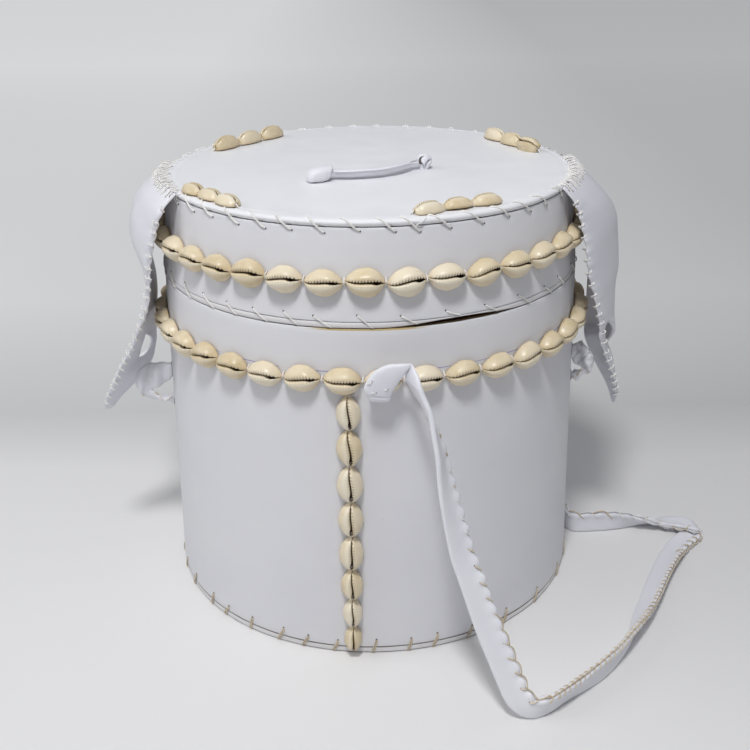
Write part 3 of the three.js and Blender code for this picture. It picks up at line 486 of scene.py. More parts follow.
# %% The route of the strap
# Each row: point, direction from the folded edge to the sewn edge. At height 0 it lies on the floor.
STRAP_WIDTH, STRAP_THICKNESS, STRAP_LIFT = 15.0, 3.0, 0.2
STRAP_ROUTE = [
    [(21, -145.2, 184.2), (-0.47, 0.88, 0)],
    [(24, -146.8, 177.5), (-0.4, 0.91, 0)],
    [(28.2, -149.2, 170), (-0.25, 0.97, 0)],
    [(31.7, -151.6, 159), (0, 1, 0)],
    [(35.3, -154.4, 146), (0.25, 0.97, 0)],
    [(37.6, -156.4, 132), (0.45, 0.88, 0.1)],
    [(40.5, -158.8, 118), (0.6, 0.77, 0.15)],
    [(44, -161.7, 104), (0.75, 0.62, 0.2)],
    [(47.5, -164.7, 90), (0.82, 0.5, 0.25)],
    [(52.3, -168.7, 77), (0.86, 0.36, 0.26)],
    [(61.8, -176.7, 49.6), (0.88, 0.24, 0.22)],
    [(67.4, -181.4, 36.4), (0.87, 0.2, 0.25)],
    [(73, -186.2, 23), (0.83, 0.18, 0.38)],
    [(78.4, -190, 12.8), (0.62, 0.15, 0.77)],
    [(86, -191.4, 0), (0.26, -0.1, 0.95)],
    [(95, -188.6, 0), (0.14, -0.24, 0.96)],
    [(105.4, -180.3, 0), (0.14, -0.26, 0.95)],
    [(129.3, -161, 0), (0, -0.1, 1)],
    [(141.4, -148, 0), (0.1, -0.06, 1)],
    [(151.8, -133.5, 0), (0.2, -0.12, 0.97)],
    [(159.5, -119.5, 0), (0.5, -0.25, 0.83)],
    [(167, -105, 0), (0.7, -0.36, 0.62)],
    [(176.5, -86.5, 0), (0.78, -0.38, 0.5)],
    [(187, -65.5, 0), (0.8, -0.42, 0.42)],
    [(198.5, -45, 0), (0.82, -0.48, 0.3)],
    [(211, -26.5, 0), (0.8, -0.58, 0.1)],
    [(219.5, -17, 1.8), (0.5, -0.86, 0)],
    [(226, -10.8, 1.9), (0.17, -0.98, 0)],
    [(227.8, -9, 3.7), (0.17, -0.98, 0)],
    [(226, -8.3, 5.5), (0.17, -0.98, 0)],
    [(218, -4.6, 5.5), (0.1, -1, 0)],
    [(208.5, -1.6, 4.6), (0, -1, 0.1)],
    [(199, -1, 0), (0, -0.88, 0.48)],
    [(187, -2.2, 0), (0, -0.6, 0.8)],
    [(174, -3, 0), (0, -0.2, 0.98)],
    [(161, -3.4, 0), (0, 0, 1)],
    [(149, -4.2, 0), (0, 0, 1)],
    [(141.6, -3.6, 0), (0, 0, 1)],
    [(138, 0.6, 0), (0, 0, 1)],
    [(136.8, 9, 0), (0, 0, 1)],
    [(137, 24, 0), (0, 0, 1)],
    [(134, 45, 0), (0, 0, 1)],
    [(125, 72, 0), (0, 0, 1)],
    [(108, 98, 0), (0, 0, 1)],
    [(84, 121.5, 10), (0, 0, 1)],
    [(63, 136.5, 24), (0.3, -0.2, 0.95)],
    [(44, 146, 46), (0.6, -0.3, 0.7)],
    [(27, 151, 72), (0.75, -0.3, 0.5)],
    [(11, 153.6, 98), (0.85, -0.35, 0.3)],
    [(-2.5, 153.4, 123), (0.8, -0.5, 0.2)],
    [(-12.5, 151.4, 146), (0.7, -0.7, 0)],
    [(-18.5, 148.8, 166), (0.6, -0.8, 0)],
    [(-21, 145.6, 184.2), (0.47, -0.88, 0)],
]


def strap_line():
    """Centres, across directions and facing directions of the strap, about 1.4 mm apart."""
    centres, acrosses = [], []
    for place, across in STRAP_ROUTE:
        place, across = np.array(place, float), unit(across)
        if place[2] == 0:
            flatness = math.sqrt(1 - across[2] ** 2)
            edge_on, laid = STRAP_WIDTH * abs(across[2]), STRAP_THICKNESS * flatness
            place[2] = (edge_on + laid) / 2 + STRAP_LIFT
        centres.append(place)
        acrosses.append(across)
    gaps = np.linalg.norm(np.diff(centres, axis=0), axis=1)
    parts = np.maximum(3, np.round(gaps / 1.4)).astype(int)
    line, across = through(centres, parts), unit(through(acrosses, parts))
    facing = np.cross(unit(np.gradient(line, axis=0)), across)
    askew = np.linalg.norm(facing, axis=1)
    return line, across / askew[:, None], unit(facing)


strap_centres, strap_across, strap_facing = strap_line()
strap_along = lengths(strap_centres)
print("strap:", round(strap_along[-1]), "mm long")

# %% The stitches of the strap
# The hanging lengths have wide stitches, and the length along the floor has narrow ones.
WIDE_STITCH, NARROW_STITCH = 9.2, 4.6
FLOOR_START, FLOOR_END = 196, 395
FIRST_STITCH, LAST_STITCH = 26.0, 22


def stitch_places():
    """How far along the strap each stitch is."""
    rng = np.random.default_rng(7)
    places, at = [], FIRST_STITCH
    while at < strap_along[-1] - LAST_STITCH:
        places.append(at)
        narrow = FLOOR_START < at < FLOOR_END
        at += (NARROW_STITCH if narrow else WIDE_STITCH) * rng.uniform(0.86, 1.16)
    return np.array(places)


strap_stitches = stitch_places()


def between_stitches(along, stitches):
    """0 at a stitch and 1 halfway to the next, and how far apart the two are."""
    after = np.clip(np.searchsorted(stitches, along), 1, len(stitches) - 1)
    start, end = stitches[after - 1], stitches[after]
    share = np.clip((along - start) / (end - start), 0, 1)
    return 0.5 - 0.5 * np.cos(2 * np.pi * share), end - start


# %% The strap itself
# Half of the section, from the fold to the sewn edge: across, half thickness.
STRAP_SECTION = [
    (-7.5, 0.25), (-7.35, 0.8), (-6.9, 1.2), (-6, 1.42), (-4.4, 1.5), (-2.6, 1.5), (-0.8, 1.48),
    (1, 1.46), (2.8, 1.42), (4.2, 1.4), (5.4, 1.36), (6.4, 1.3), (7.1, 1.16), (7.5, 0.8), (7.42, 0.4),
]


def strap_point(along, across, out):
    """The place at a distance along the strap, across it and out from its middle."""
    spots = [
        np.stack([np.interp(along, strap_along, rows[:, i]) for i in range(3)], -1)
        for rows in (strap_centres, strap_across, strap_facing)
    ]
    return spots[0] + spots[1] * np.asarray(across)[..., None] + spots[2] * np.asarray(out)[..., None]


# The strap narrows to a point where it meets the crease of its knot: the place, and its size there.
STRAP_HEAD = [((20.4, -141, 192.4), 0.05), ((20.5, -142, 191.8), 0.25), ((20.8, -143.6, 188.5), 0.7)]
# How far a wide stitch draws the sewn edge in, and how far the strap stays above the floor.
STRAP_NOTCH, STRAP_LOWEST = 1.4, 0.08


def strap_rings():
    """Rings of points along the strap: its section, puckered by the stitches and a little limp."""
    top = np.array(STRAP_SECTION)
    across = np.concatenate([top[:, 0], [6.7], top[::-1, 0]])
    half = np.concatenate([top[:, 1], [0], -top[::-1, 1]])
    swell, pitch = between_stitches(strap_along, strap_stitches)
    reach = np.clip((across + 2.5) / 8, 0, 1) ** 1.5
    size = np.clip(pitch / WIDE_STITCH, 0.3, 1)
    along2d = np.stack([strap_along, 0 * strap_along, 0 * strap_along], -1)
    limp = waves(along2d, 34, 3)[:, None] * 0.35 + waves(along2d, 13, 4)[:, None] * 0.16
    puff = 0.55 + (0.55 + 0.9 * size * swell)[:, None] * reach
    out = half * (1 - reach + puff * reach) + limp * (0.3 + reach)
    sideways = across - reach * (STRAP_NOTCH * size * (1 - swell))[:, None]
    rings = (
        strap_centres[:, None]
        + strap_across[:, None] * sideways[..., None]
        + strap_facing[:, None] * out[..., None]
    )
    rings[..., 2] = np.maximum(rings[..., 2], STRAP_LOWEST)
    heads = [
        [place * np.array([side, side, 1]) + (end - end.mean(0)) * size for place, size in STRAP_HEAD]
        for side, end in ((1, rings[0]), (-1, rings[-1]))
    ]
    return np.concatenate([heads[0], rings, heads[1][::-1]])


carrying_strap = make(
    "strap", Clay().closed(strap_rings()), [soft_leather],
    "container", ["carrying_strap"],
)


# %% [markdown]
# Thread is two plies twisted together. The plies are in the mesh: the section of each thread is
# a little longer one way than the other, and it turns as it goes. Thread drawn through leather
# leaves a hole, so each stitch ends in a small cup painted dark as the shade in the hole.

# %% Thread and holes
THREAD_SIDES, HOLE_SIDES = 7, 8


def thread(clay, points, radius, finish=0):
    """Adds a two-ply thread along the points."""
    line = evenly(through(points, 6), 1.5 * radius)
    ahead = unit(np.gradient(line, axis=0))
    side = [unit(np.cross(ahead[0], UP + 0.01))]
    for direction in ahead[1:]:
        side.append(unit(side[-1] - direction * (side[-1] @ direction)))
    side = np.array(side)
    above = np.cross(ahead, side)
    turns = circle(THREAD_SIDES)
    twist = lengths(line)[:, None] / (5 * radius)
    wide = radius * (0.78 + 0.3 * np.abs(np.cos(turns - twist)))
    taper = np.minimum(1, 0.5 + np.minimum(lengths(line), lengths(line)[::-1]) / radius)[:, None]
    wide = wide * taper
    rings = (
        line[:, None] + side[:, None] * (wide * np.cos(turns))[..., None]
        + above[:, None] * (wide * np.sin(turns))[..., None]
    )
    clay.closed(rings, finish)


def hole(clay, place, out, radius, finish):
    """Adds a shallow cup at a place, facing out, in a dark finish: painted shade of the hole."""
    out = unit(out)
    side = unit(np.cross(out, UP + 0.013))
    above = np.cross(out, side)
    turns = circle(HOLE_SIDES)
    rings = []
    for share, depth in ((1.0, -0.25), (1.0, 0.02), (0.6, 0.06), (0.15, 0.05)):
        spread = (side[None] * np.cos(turns)[:, None] + above[None] * np.sin(turns)[:, None])
        rings.append(place + out * depth + spread * radius * share)
    clay.closed(rings, finish)


# %% The thread along the strap
# The stitches in front of the floor are tan, and so are a third of the rest. Where they are dense,
# one more strand runs along the edge.
TAN_START, TAN_END, EDGE_STRAND_START = FLOOR_START - 95, FLOOR_END + 40, FLOOR_START - 60
STRAP_EDGE, STITCH_LIFT = 7.9, 1.85
WHITE_RADIUS, TAN_RADIUS, STRAP_HOLE = 0.4, 0.42, 0.5


def strap_stitching():
    """Stitches over the sewn edge of the strap, on both of its faces."""
    clay = Clay()
    rng = np.random.default_rng(11)
    for at, following in zip(strap_stitches, strap_stitches[1:]):
        pitch = following - at
        size = np.clip(pitch / WIDE_STITCH, 0.35, 1)
        inset = 6.9 - 3.4 * size * rng.uniform(0.85, 1.15)
        back = 3.6 * size
        tan = TAN_START < at < TAN_END or rng.random() < 0.3
        rim = STRAP_EDGE - (STRAP_NOTCH - 0.3) * size
        lift = STITCH_LIFT
        front = [
            (at - back, inset, 0.9), (at - 0.8 * back, inset + 0.3, lift),
            (at - 0.4 * back, (inset + rim) / 2, lift), (at, rim - 0.5, 1.3), (at + 0.5, rim, 0.2),
        ]
        rear = [
            (at + 0.5, rim, 0.2), (at + 0.2, rim - 0.5, -1.3),
            (at - 0.4 * back, (inset + rim) / 2, -lift), (at - 0.8 * back, inset + 0.3, -lift),
            (at - back, inset, -0.9),
        ]
        swell = 0.25 + rng.uniform(0, 0.5)
        edge = [
            (at + 0.5, rim, 0.2), (at + 0.3 * pitch, 7.8 + swell * 0.4, 0.2),
            (at + 0.7 * pitch, 7.8 + swell * 0.4, -0.1), (following + 0.4, rim, 0.2),
        ]
        for path in (front, rear, edge) if at > EDGE_STRAND_START else (front, rear):
            along, across, out = np.array(path).T
            thread(clay, strap_point(along, across, out), TAN_RADIUS if tan else WHITE_RADIUS, int(tan))
        if not tan or size > 0.6:
            for side in (1, -1):
                spot = strap_point(at - back, inset, side * 1.42)
                out = strap_point(at - back, inset, side * 3.0) - spot
                hole(clay, spot, out, STRAP_HOLE, 2)
    return clay


strap_thread = make(
    "strap_thread", strap_stitching(), [white_thread, tan_thread, hole_shade],
    "container",
)

# %% [markdown]
# ## The wall of the box
# The wall leans in slightly from floor to lid. Every piece on it is placed by its azimuth, its
# height and how far it stands out, so these few helpers serve them all.

# %% The wall
BASE_RADIUS, SEAM_RADIUS, LID_TOP_RADIUS = 133.4, 128.0, 122.6
BASE_EDGE_HEIGHT, BODY_RIM_HEIGHT = 4.2, 206.6
LID_FOOT_HEIGHT, LID_TOP_HEIGHT = 210.6, 264.2
LEATHER, BOARD, LINING, GAP = 1.4, 3.4, 1.0, 0.3
ROLL_DEPTH = 4.2
ROUND = 480


def wall_radius(z):
    """Radius of the outside of the wall at a height."""
    low = BASE_RADIUS + (SEAM_RADIUS - BASE_RADIUS) * z / LID_FOOT_HEIGHT
    rise = (z - LID_FOOT_HEIGHT) / (LID_TOP_HEIGHT - LID_FOOT_HEIGHT)
    return np.where(z < LID_FOOT_HEIGHT, low, SEAM_RADIUS + (LID_TOP_RADIUS - SEAM_RADIUS) * rise)


def round_box(radius, turn, height):
    """The place at a distance from the middle line of the box, a turn in radians and a height."""
    return np.stack(np.broadcast_arrays(radius * np.cos(turn), radius * np.sin(turn), height), -1)


def box_frame(azimuth):
    """Directions at an azimuth in degrees: round the box, out of it and up."""
    cos, sin = math.cos(math.radians(azimuth)), math.sin(math.radians(azimuth))
    return np.array([(-sin, cos, 0.0), (cos, sin, 0.0), UP])


def on_wall(azimuth, z, out=0.0):
    """The place at an azimuth in degrees and a height, so far out from the wall."""
    azimuth, z, out = np.broadcast_arrays(np.radians(azimuth), np.asarray(z, float), out)
    return round_box(wall_radius(z) + out, azimuth, z)


def degrees_of(distance):
    """The angle that a distance round the wall takes up."""
    return np.degrees(np.asarray(distance) / SEAM_RADIUS)


def degrees_from(azimuth, azimuths):
    """How far azimuths are from another one, from -180 to 180 degrees."""
    return (azimuths - azimuth + 180) % 360 - 180


def pressed(azimuths, heights, spots, depth, size):
    """How far leather is drawn in at (azimuth, height) spots, over so many millimetres."""
    total = np.zeros(np.broadcast(azimuths, heights).shape)
    for azimuth, height in spots:
        away = np.radians(degrees_from(azimuth, azimuths)) * SEAM_RADIUS
        total += np.exp(-(away**2 + (heights - height) ** 2) / size**2)
    return -depth * total


ALL_ROUND = np.arange(ROUND)[:, None] * 360 / ROUND


def turned(name, outline, finish, body, replaced, uneven):
    """A skin turned round the box from an outline of [radius, height] that closes on itself."""
    outline = np.array(outline, float)
    radius = outline[None, :, 0] + uneven(ALL_ROUND, outline[None, :, 1])
    points = round_box(radius, np.radians(ALL_ROUND), outline[None, :, 1])
    clay = Clay().add(points, grid(ROUND, len(outline), True, True))
    return make(name, clay, [finish], body, replaced)


# %% [markdown]
# Stitches come at uneven steps, as a hand makes them. Those on the front are listed, and
# the rest go on round the box at about the same step.

# %% Where the stitches are
def carried_round(front, step):
    """The front azimuths, then evenly spaced ones back round to the first."""
    front = sorted(front)
    gap = front[0] + 360 - front[-1]
    count = max(1, round(gap / step))
    rng = np.random.default_rng(len(front))
    rest = [front[-1] + gap * (i + rng.uniform(-0.15, 0.15)) / count for i in range(1, count)]
    return front + rest


BASE_STITCHES = carried_round(
    [-152, -141, -134, -125, -115, -108, -100, -90, -81, -74, -64, -52.5, -39, -24.5], 9.5)
EDGE_STITCHES = carried_round([-124, -116, -109, -100.8, -92.3, -83.8, -77.8, -70, -61, -53, -45], 8.4)
RIM_STITCHES = carried_round([-137, -128, -119.8, -111.3, -103.8, -93.3, -83, -72, -61.5, -51], 9.6)
EDGE_HOLE_HEIGHT, RIM_HOLE_HEIGHT, BASE_HOLE_HEIGHT = 257.6, 213.6, 9.0
print(len(BASE_STITCHES), len(EDGE_STITCHES), len(RIM_STITCHES), "stitches round the box")


# %% [markdown]
# The leather of the wall is a skin with a real thickness and rounded edges. It is almost smooth:
# it swells by a fifth of a millimetre over the board and is drawn in at each stitch.

# %% Wall leather
def wall_outline(low, high, steps):
    """Outline of a leather wall between two heights, from its foot, up outside and down inside."""
    rows = [[wall_radius(low) - 0.35, low], [wall_radius(low) - 0.1, low + 0.12]]
    rows += [[wall_radius(z), z] for z in np.linspace(low + 0.4, high - 0.4, steps)]
    rows += [[wall_radius(high) - 0.12, high - 0.1], [wall_radius(high) - 0.4, high]]
    rows += [[wall_radius(z) - LEATHER, z] for z in (high, (low + high) / 2, low)]
    return rows


def body_unevenness(azimuths, heights):
    """How far the body's leather swells over the board, less where it is laced."""
    spots = on_wall(azimuths, heights)
    soft = waves(spots, 75, 21) * 0.11 + waves(spots, 26, 22) * 0.045
    lace = [(a, BASE_HOLE_HEIGHT) for a in BASE_STITCHES]
    return soft + pressed(azimuths, heights, lace, 0.3, 3.0)


turned("body_leather", wall_outline(BASE_EDGE_HEIGHT + GAP, BODY_RIM_HEIGHT, 60), shaded_body_wall_leather,
       "container", ["body_wall_cover"], body_unevenness)


def lid_unevenness(azimuths, heights):
    """The same for the lid, which has two rows of stitches."""
    spots = on_wall(azimuths, heights)
    soft = waves(spots, 60, 31) * 0.1 + waves(spots, 22, 32) * 0.05
    lace = [(a, EDGE_HOLE_HEIGHT) for a in EDGE_STITCHES] + [(a, RIM_HOLE_HEIGHT) for a in RIM_STITCHES]
    return soft + pressed(azimuths, heights, lace, 0.32, 2.6)


turned("lid_leather", wall_outline(LID_FOOT_HEIGHT, LID_TOP_HEIGHT - ROLL_DEPTH, 40), shaded_wall_leather,
       "lid", ["lid_wall_cover"], lid_unevenness)


# %% The top of the lid with its rolled edge
# The roll, from inside over the edge to the flat: radius, how far below the top.
ROLLED_EDGE = [
    (119.0, 1.8), (119.5, 2.9), (120.3, 3.6), (121.4, 3.9), (122.4, 3.7), (123.2, 3.05),
    (123.65, 2.2), (123.7, 1.5), (123.3, 0.85), (122.6, 0.4), (121.6, 0.1), (120.6, 0.0),
    (119.6, 0.05), (118.8, 0.28), (118.0, 0.22), (117.0, 0.06),
]
ROLL_RADIUS, ROLL_MIDDLE, ROLL_DROP = 123, 121.2, 1.9
TOP_RADII = [116.0, 112.0, 106.0, 97.0, 86.0, 74.0, 62.0, 50.0, 38.0, 27.0, 17.0, 8.0]
UNDERSIDE_RADII = [8.0, 60.0, 118.2]
TOP_SINK = 0.16


def lid_top():
    """The top leather: a rolled edge that the stitches draw in, a soft flat and an underside."""
    edge = np.array(ROLLED_EDGE)
    turn = np.radians(ALL_ROUND)
    across = np.linspace(0, 1, len(edge))[None, :]
    pull = np.zeros((ROUND, len(edge)))
    for stitch in EDGE_STITCHES:
        start = stitch - degrees_of(9)
        strand = start + (stitch - start) * (1 - across)
        away = np.radians(degrees_from(strand, ALL_ROUND)) * ROLL_RADIUS
        pull += np.exp(-(away**2) / 1.3**2)
    squeeze = np.clip(pull, 0, 1) * 0.3
    radius = edge[None, :, 0] + 0 * turn
    height = LID_TOP_HEIGHT - edge[None, :, 1] + 0 * turn
    radius += (ROLL_MIDDLE - radius) / 2.4 * squeeze
    height += (LID_TOP_HEIGHT - ROLL_DROP - height) / 2.4 * squeeze
    radius += waves(round_box(radius, turn, height), 16, 43) * 0.1
    flat = round_box(np.array(TOP_RADII)[None, :], turn, 0.0)
    soft = waves(flat, 90, 41) * 0.1 + waves(flat, 30, 42) * 0.05 - TOP_SINK
    flat += UP * (LID_TOP_HEIGHT + soft[..., None])
    below = round_box(np.array(UNDERSIDE_RADII)[None, :], turn, LID_TOP_HEIGHT - LEATHER)
    points = np.concatenate([round_box(radius, turn, height), flat, below], 1)
    columns = points.shape[1]
    inner = len(edge) + len(TOP_RADII) - 1
    faces = grid(ROUND, columns, True, True).tolist()
    faces = [face for face in faces if {i % columns for i in face} != {inner, inner + 1}]
    hubs = [(0, 0, LID_TOP_HEIGHT - TOP_SINK), (0, 0, LID_TOP_HEIGHT - LEATHER)]
    for hub, column in enumerate((inner, inner + 1), ROUND * columns):
        ring = [i * columns + column for i in range(ROUND)]
        faces += [[hub, one, other] for one, other in zip(ring, ring[1:] + ring[:1])]
    return Clay().add(np.vstack([points.reshape(-1, 3), hubs]), faces)


make("lid_top_leather", lid_top(), [lit_top_leather], "lid", ["lid_top_cover"])


# %% [markdown]
# ## Cowries
# A cowrie lies with its mouth outward and its back cut off, so that it can be threaded and sewn
# down flat. Seen from outside it is an egg drawn to two points, with a slot from end to end. The
# two lips roll into the slot and carry teeth. One skin makes it: the section runs from the slot
# over the lip, down the flank and under to the cut, and the teeth are a ripple where the section
# crosses the lip.

# %% One cowrie
# Half of the section, from the slot outward: share of the half width, share of the height.
COWRIE_SECTION = np.array([
    (0.015, 0.42), (0.03, 0.62), (0.045, 0.80), (0.075, 0.905), (0.13, 0.965), (0.21, 0.995),
    (0.33, 0.985), (0.47, 0.925), (0.62, 0.82), (0.77, 0.66), (0.90, 0.46), (0.985, 0.27),
    (0.99, 0.14), (0.90, 0.04), (0.62, 0.0),
])
TEETH = 13
COWRIE_STATIONS = 86


def round_section(floor, one_lip, other_lip):
    """Values round the whole section, from the floor of the slot over both halves."""
    return np.concatenate([[floor], one_lip, [0], other_lip[::-1]])


def cowrie(length, width, height, seed, blunt=0.03, slot_size=1.0):
    """Rings of points and painted values of a cowrie that lies along X, mouth toward +Z.

    Its ends are so blunt, as a share of its width, and its slot so wide beside a usual one.
    """
    rng = np.random.default_rng(seed)
    t = np.sin(np.linspace(-1, 1, COWRIE_STATIONS) * np.pi / 2 * 0.985)
    t = 0.45 * t + 0.55 * np.linspace(-0.995, 0.995, COWRIE_STATIONS)
    t = t / abs(t).max() * 0.995
    lean = rng.uniform(0.02, 0.14)
    plump = rng.uniform(1.85, 2.35)
    wide = (1 - np.abs(t) ** plump) ** 0.7 * (1 + lean * t)
    tall = (1 - np.abs(t) ** 2.7) ** 0.5 * 0.8 + 0.2 * (1 - np.abs(t) ** 6)
    half = width / 2 * (blunt + (1 - blunt) * np.maximum(wide, 0.03))
    rise = height * np.maximum(tall, 0.12 + blunt)
    mouth = np.exp(-((t - 0.6) / 0.2) ** 2) * rng.uniform(0.75, 1.2)
    gape = slot_size * (0.2 + 0.26 * np.clip((t + 0.6) / 1.2, 0, 1) + 0.8 * mouth)
    gape *= np.clip((1 - np.abs(t) ** 8), 0.02, 1)
    bend = width * (0.035 * np.sin(2.6 * t + rng.uniform(-0.7, 0.7)) + 0.045 * (1 - t**2))
    share, up = COWRIE_SECTION[:, 0], COWRIE_SECTION[:, 1]
    at_tooth = TEETH * (t + 1) / 2
    tooth = 0.5 + 0.5 * np.cos(2 * np.pi * at_tooth)
    bites = rng.uniform(0.55, 1.35, (2, TEETH + 1))
    which_tooth = np.round(at_tooth).astype(int)
    inside = np.exp(-((share - 0.06) / 0.055) ** 2)
    ridge = np.exp(-((share - 0.17) / 0.11) ** 2)
    fade = np.clip((1 - np.abs(t)) * 5, 0, 1)
    rows = []
    for side in (1, -1):
        phase = tooth if side == 1 else 0.5 + 0.5 * np.cos(2 * np.pi * at_tooth + 2.1)
        firm = 1.0 if side == 1 else 0.15 + 0.4 * mouth
        strength = firm * bites[int(side < 0), which_tooth] * slot_size
        across = share[None] * half[:, None]
        across = np.maximum(across, gape[:, None] * np.clip(1.25 - share[None] * 5, 0.0, 1.0))
        bite = (1 - phase) ** 2 * fade * strength * (0.5 + 0.6 * mouth)
        across = across + bite[:, None] * inside[None] * (1 if side == 1 else 0.8)
        out = up[None] * rise[:, None]
        out = out - ((1 - phase) * fade * strength)[:, None] * ridge[None] * 0.45
        knob = 0.02 * width * np.sin(t * 9 + seed)[:, None] * np.clip(share - 0.7, 0, 1)[None]
        fat = 0.98 if side == 1 else 1.05
        bent = bend[:, None] * (1 - share[None] ** 2) * fade[:, None]
        ahead = np.broadcast_to((t * length / 2)[:, None], across.shape)
        rows.append(np.stack([ahead, side * (across * fat + knob) + bent, out], -1))
    slot_floor = np.stack([t * length / 2, bend * fade, rise * 0.3], -1)[:, None]
    foot = np.stack([t * length / 2, 0 * t, 0 * t], -1)[:, None]
    points = np.concatenate([slot_floor, rows[0], foot, rows[1][:, ::-1]], 1)
    # Painted shade: the slot is painted dark, and so are the grooves between the teeth on the lips.
    dark = np.clip((0.84 - up) / 0.22, 0, 1) * (share < 0.1)
    lip = np.exp(-((share - 0.17) / 0.13) ** 2)
    groove = (1 - tooth) ** 1.5 * fade * (0.6 + 0.4 * mouth)
    slot = round_section(1, dark, dark) + groove[:, None] * round_section(0, lip, 0.2 * lip)
    cut = np.clip((0.3 - up) / 0.3, 0, 1) * (share > 0.5)
    rim = round_section(0, cut, cut) + np.clip(np.abs(t) - 0.8, 0, 1)[:, None] * 1.4
    belly = round_section(0, 0 * share, np.clip(1 - abs(share - 0.35) * 3, 0, 1))
    values = {"tint": rng.uniform(0.15, 0.8) + 0.5 * belly, "rim": rim, "slot": slot}
    for name, value in values.items():
        values[name] = np.clip(np.broadcast_to(value, points.shape[:2]).ravel(), 0, 1)
    return points, values


def add_cowrie(clay, size, place, along, out, seed, roll=0.0, tip=0.0, **form):
    """Adds a cowrie at a place, lying along one direction with its mouth out.

    Its roll turns it where it lies, and its tip turns it about its own length.
    """
    points, values = cowrie(*size, seed, **form)
    along, out = unit(along), unit(out)
    out = unit(out - along * (out @ along))
    across = np.cross(out, along)
    for angle, one, two in ((roll, along, across), (tip, across, out)):
        cos, sin = math.cos(angle), math.sin(angle)
        one[:], two[:] = one * cos + two * sin, two * cos - one * sin
    basis = np.stack([along, across, out])
    clay.closed(place + points @ basis, **values)


# %% [markdown]
# Two strings of shells run round the box, one on the body and one on the lid. Each shell is tied
# to the next, so their ends almost touch. Every shell differs a little in size, tilt and tint.

# %% The two strings
SHELLS_PER_STRING = 37
# Height, azimuth of the first shell, and the body that it rides on.
STRINGS = {"body": (178.0, -97.0, "container"), "lid": (232.5, -91.3, "lid")}
SHELL_SIZE = (20.8, 15.0, 8.4)
SHELL_SEAT, TIE, FINE_TIE = 0.42, 0.45, 0.42
# The strand between two strung shells: how far up, how far out.
CROSSING = [(2.2, 0.1), (1.4, 1.4), (0, 2.3), (-1.4, 1.4), (-2.2, 0.1)]


def wall_frame(azimuth, z):
    """Directions round the wall, up it and out of it."""
    along, level, _ = box_frame(azimuth)
    lean = math.atan(float(wall_radius(z - 1) - wall_radius(z + 1)) / 2)
    out = level * math.cos(lean) + UP * math.sin(lean)
    return along, np.cross(out, along), out


def shell_string(which, height, start, body):
    """One string of shells, with the threads that tie each shell to the next."""
    clay, ties = Clay(), Clay()
    rng = np.random.default_rng(len(which) * 7)
    for i in range(SHELLS_PER_STRING):
        azimuth = start + i * 360 / SHELLS_PER_STRING
        along, _, out = wall_frame(azimuth, height)
        grow = rng.uniform(0.95, 1.05)
        size = (SHELL_SIZE[0], SHELL_SIZE[1] * grow, SHELL_SIZE[2] * rng.uniform(0.94, 1.04))
        place = on_wall(azimuth, height + rng.uniform(-0.5, 0.5), SHELL_SEAT)
        add_cowrie(clay, size, place, along, out, 100 + i, roll=rng.uniform(-0.09, 0.09))
        middle = azimuth + 180 / SHELLS_PER_STRING
        step = degrees_of(3.2)
        for lift in (-0.5, 0.6):
            path = [
                on_wall(middle - step, height + lift, 2.6), on_wall(middle, height, 1.7),
                on_wall(middle + step, height - lift, 2.6),
            ]
            thread(ties, path, TIE, rng.integers(0, 2))
        thread(ties, [on_wall(middle, height + up, away) for up, away in CROSSING], TIE)
    make(which + "_shells", clay, [cowrie_shell], body, [which + "_cowrie_string"])
    make(which + "_shell_ties", ties, [white_thread, pink_thread], body)


for which, (height, start, body) in STRINGS.items():
    shell_string(which, height, start, body)


# %% [markdown]
# Eight shells run down the front, tied end to end, and four groups of three lie on the lid. The
# groups lie mouth up, so that from the side one sees smooth flanks.

# %% Single shells
FRONT_ROW_AZIMUTH, FRONT_ROW_TOP, FRONT_ROW_GAP = -95.6, 169.2, 0.7
FRONT_SHELLS = [
    (19.6, 13.4), (21.4, 14.4), (22, 14.8), (21.4, 14.4),
    (21.6, 14), (19.4, 13), (18.4, 11.6), (15.8, 10.6),
]


def front_row():
    """The shells down the front, with three strands and a crossing one between each two."""
    rng = np.random.default_rng(5)
    ties = Clay()
    top = FRONT_ROW_TOP
    for number, (length, width) in enumerate(FRONT_SHELLS, 1):
        middle = top - length / 2
        _, up, out = wall_frame(FRONT_ROW_AZIMUTH, middle)
        place = on_wall(FRONT_ROW_AZIMUTH, middle, SHELL_SEAT)
        clay = Clay()
        add_cowrie(clay, (length + 0.4, width, SHELL_SIZE[2]), place, -up, out, 299 + number,
                   roll=rng.uniform(-0.08, 0.08))
        make(f"front_shell_{number}", clay, [cowrie_shell], "container",
             [f"front_cowrie_{number}"])
        for sway in (-0.6, 0.0, 0.6):
            step = degrees_of(sway)
            path = [
                on_wall(FRONT_ROW_AZIMUTH + step, top + 3.4, 2.8),
                on_wall(FRONT_ROW_AZIMUTH + step * 0.5, top + 0.3, 1.6),
                on_wall(FRONT_ROW_AZIMUTH + step, top - 3.2, 2.8),
            ]
            thread(ties, path, FINE_TIE, int(sway == 0.6))
        cross = [
            on_wall(FRONT_ROW_AZIMUTH + degrees_of(sway), top + 0.35, away)
            for sway, away in ((-2.8, 0.1), (-1.6, 1.5), (0, 2.3), (1.6, 1.5), (2.8, 0.1))
        ]
        thread(ties, cross, FINE_TIE)
        top -= length + FRONT_ROW_GAP
    foot = [(top + 4, 2.2), (top + 0.6, 1.4), (top - 1, 0.1)]
    thread(ties, [on_wall(FRONT_ROW_AZIMUTH, z, away) for z, away in foot], TIE)
    make("front_shell_ties", ties, [white_thread, pink_thread], "container")


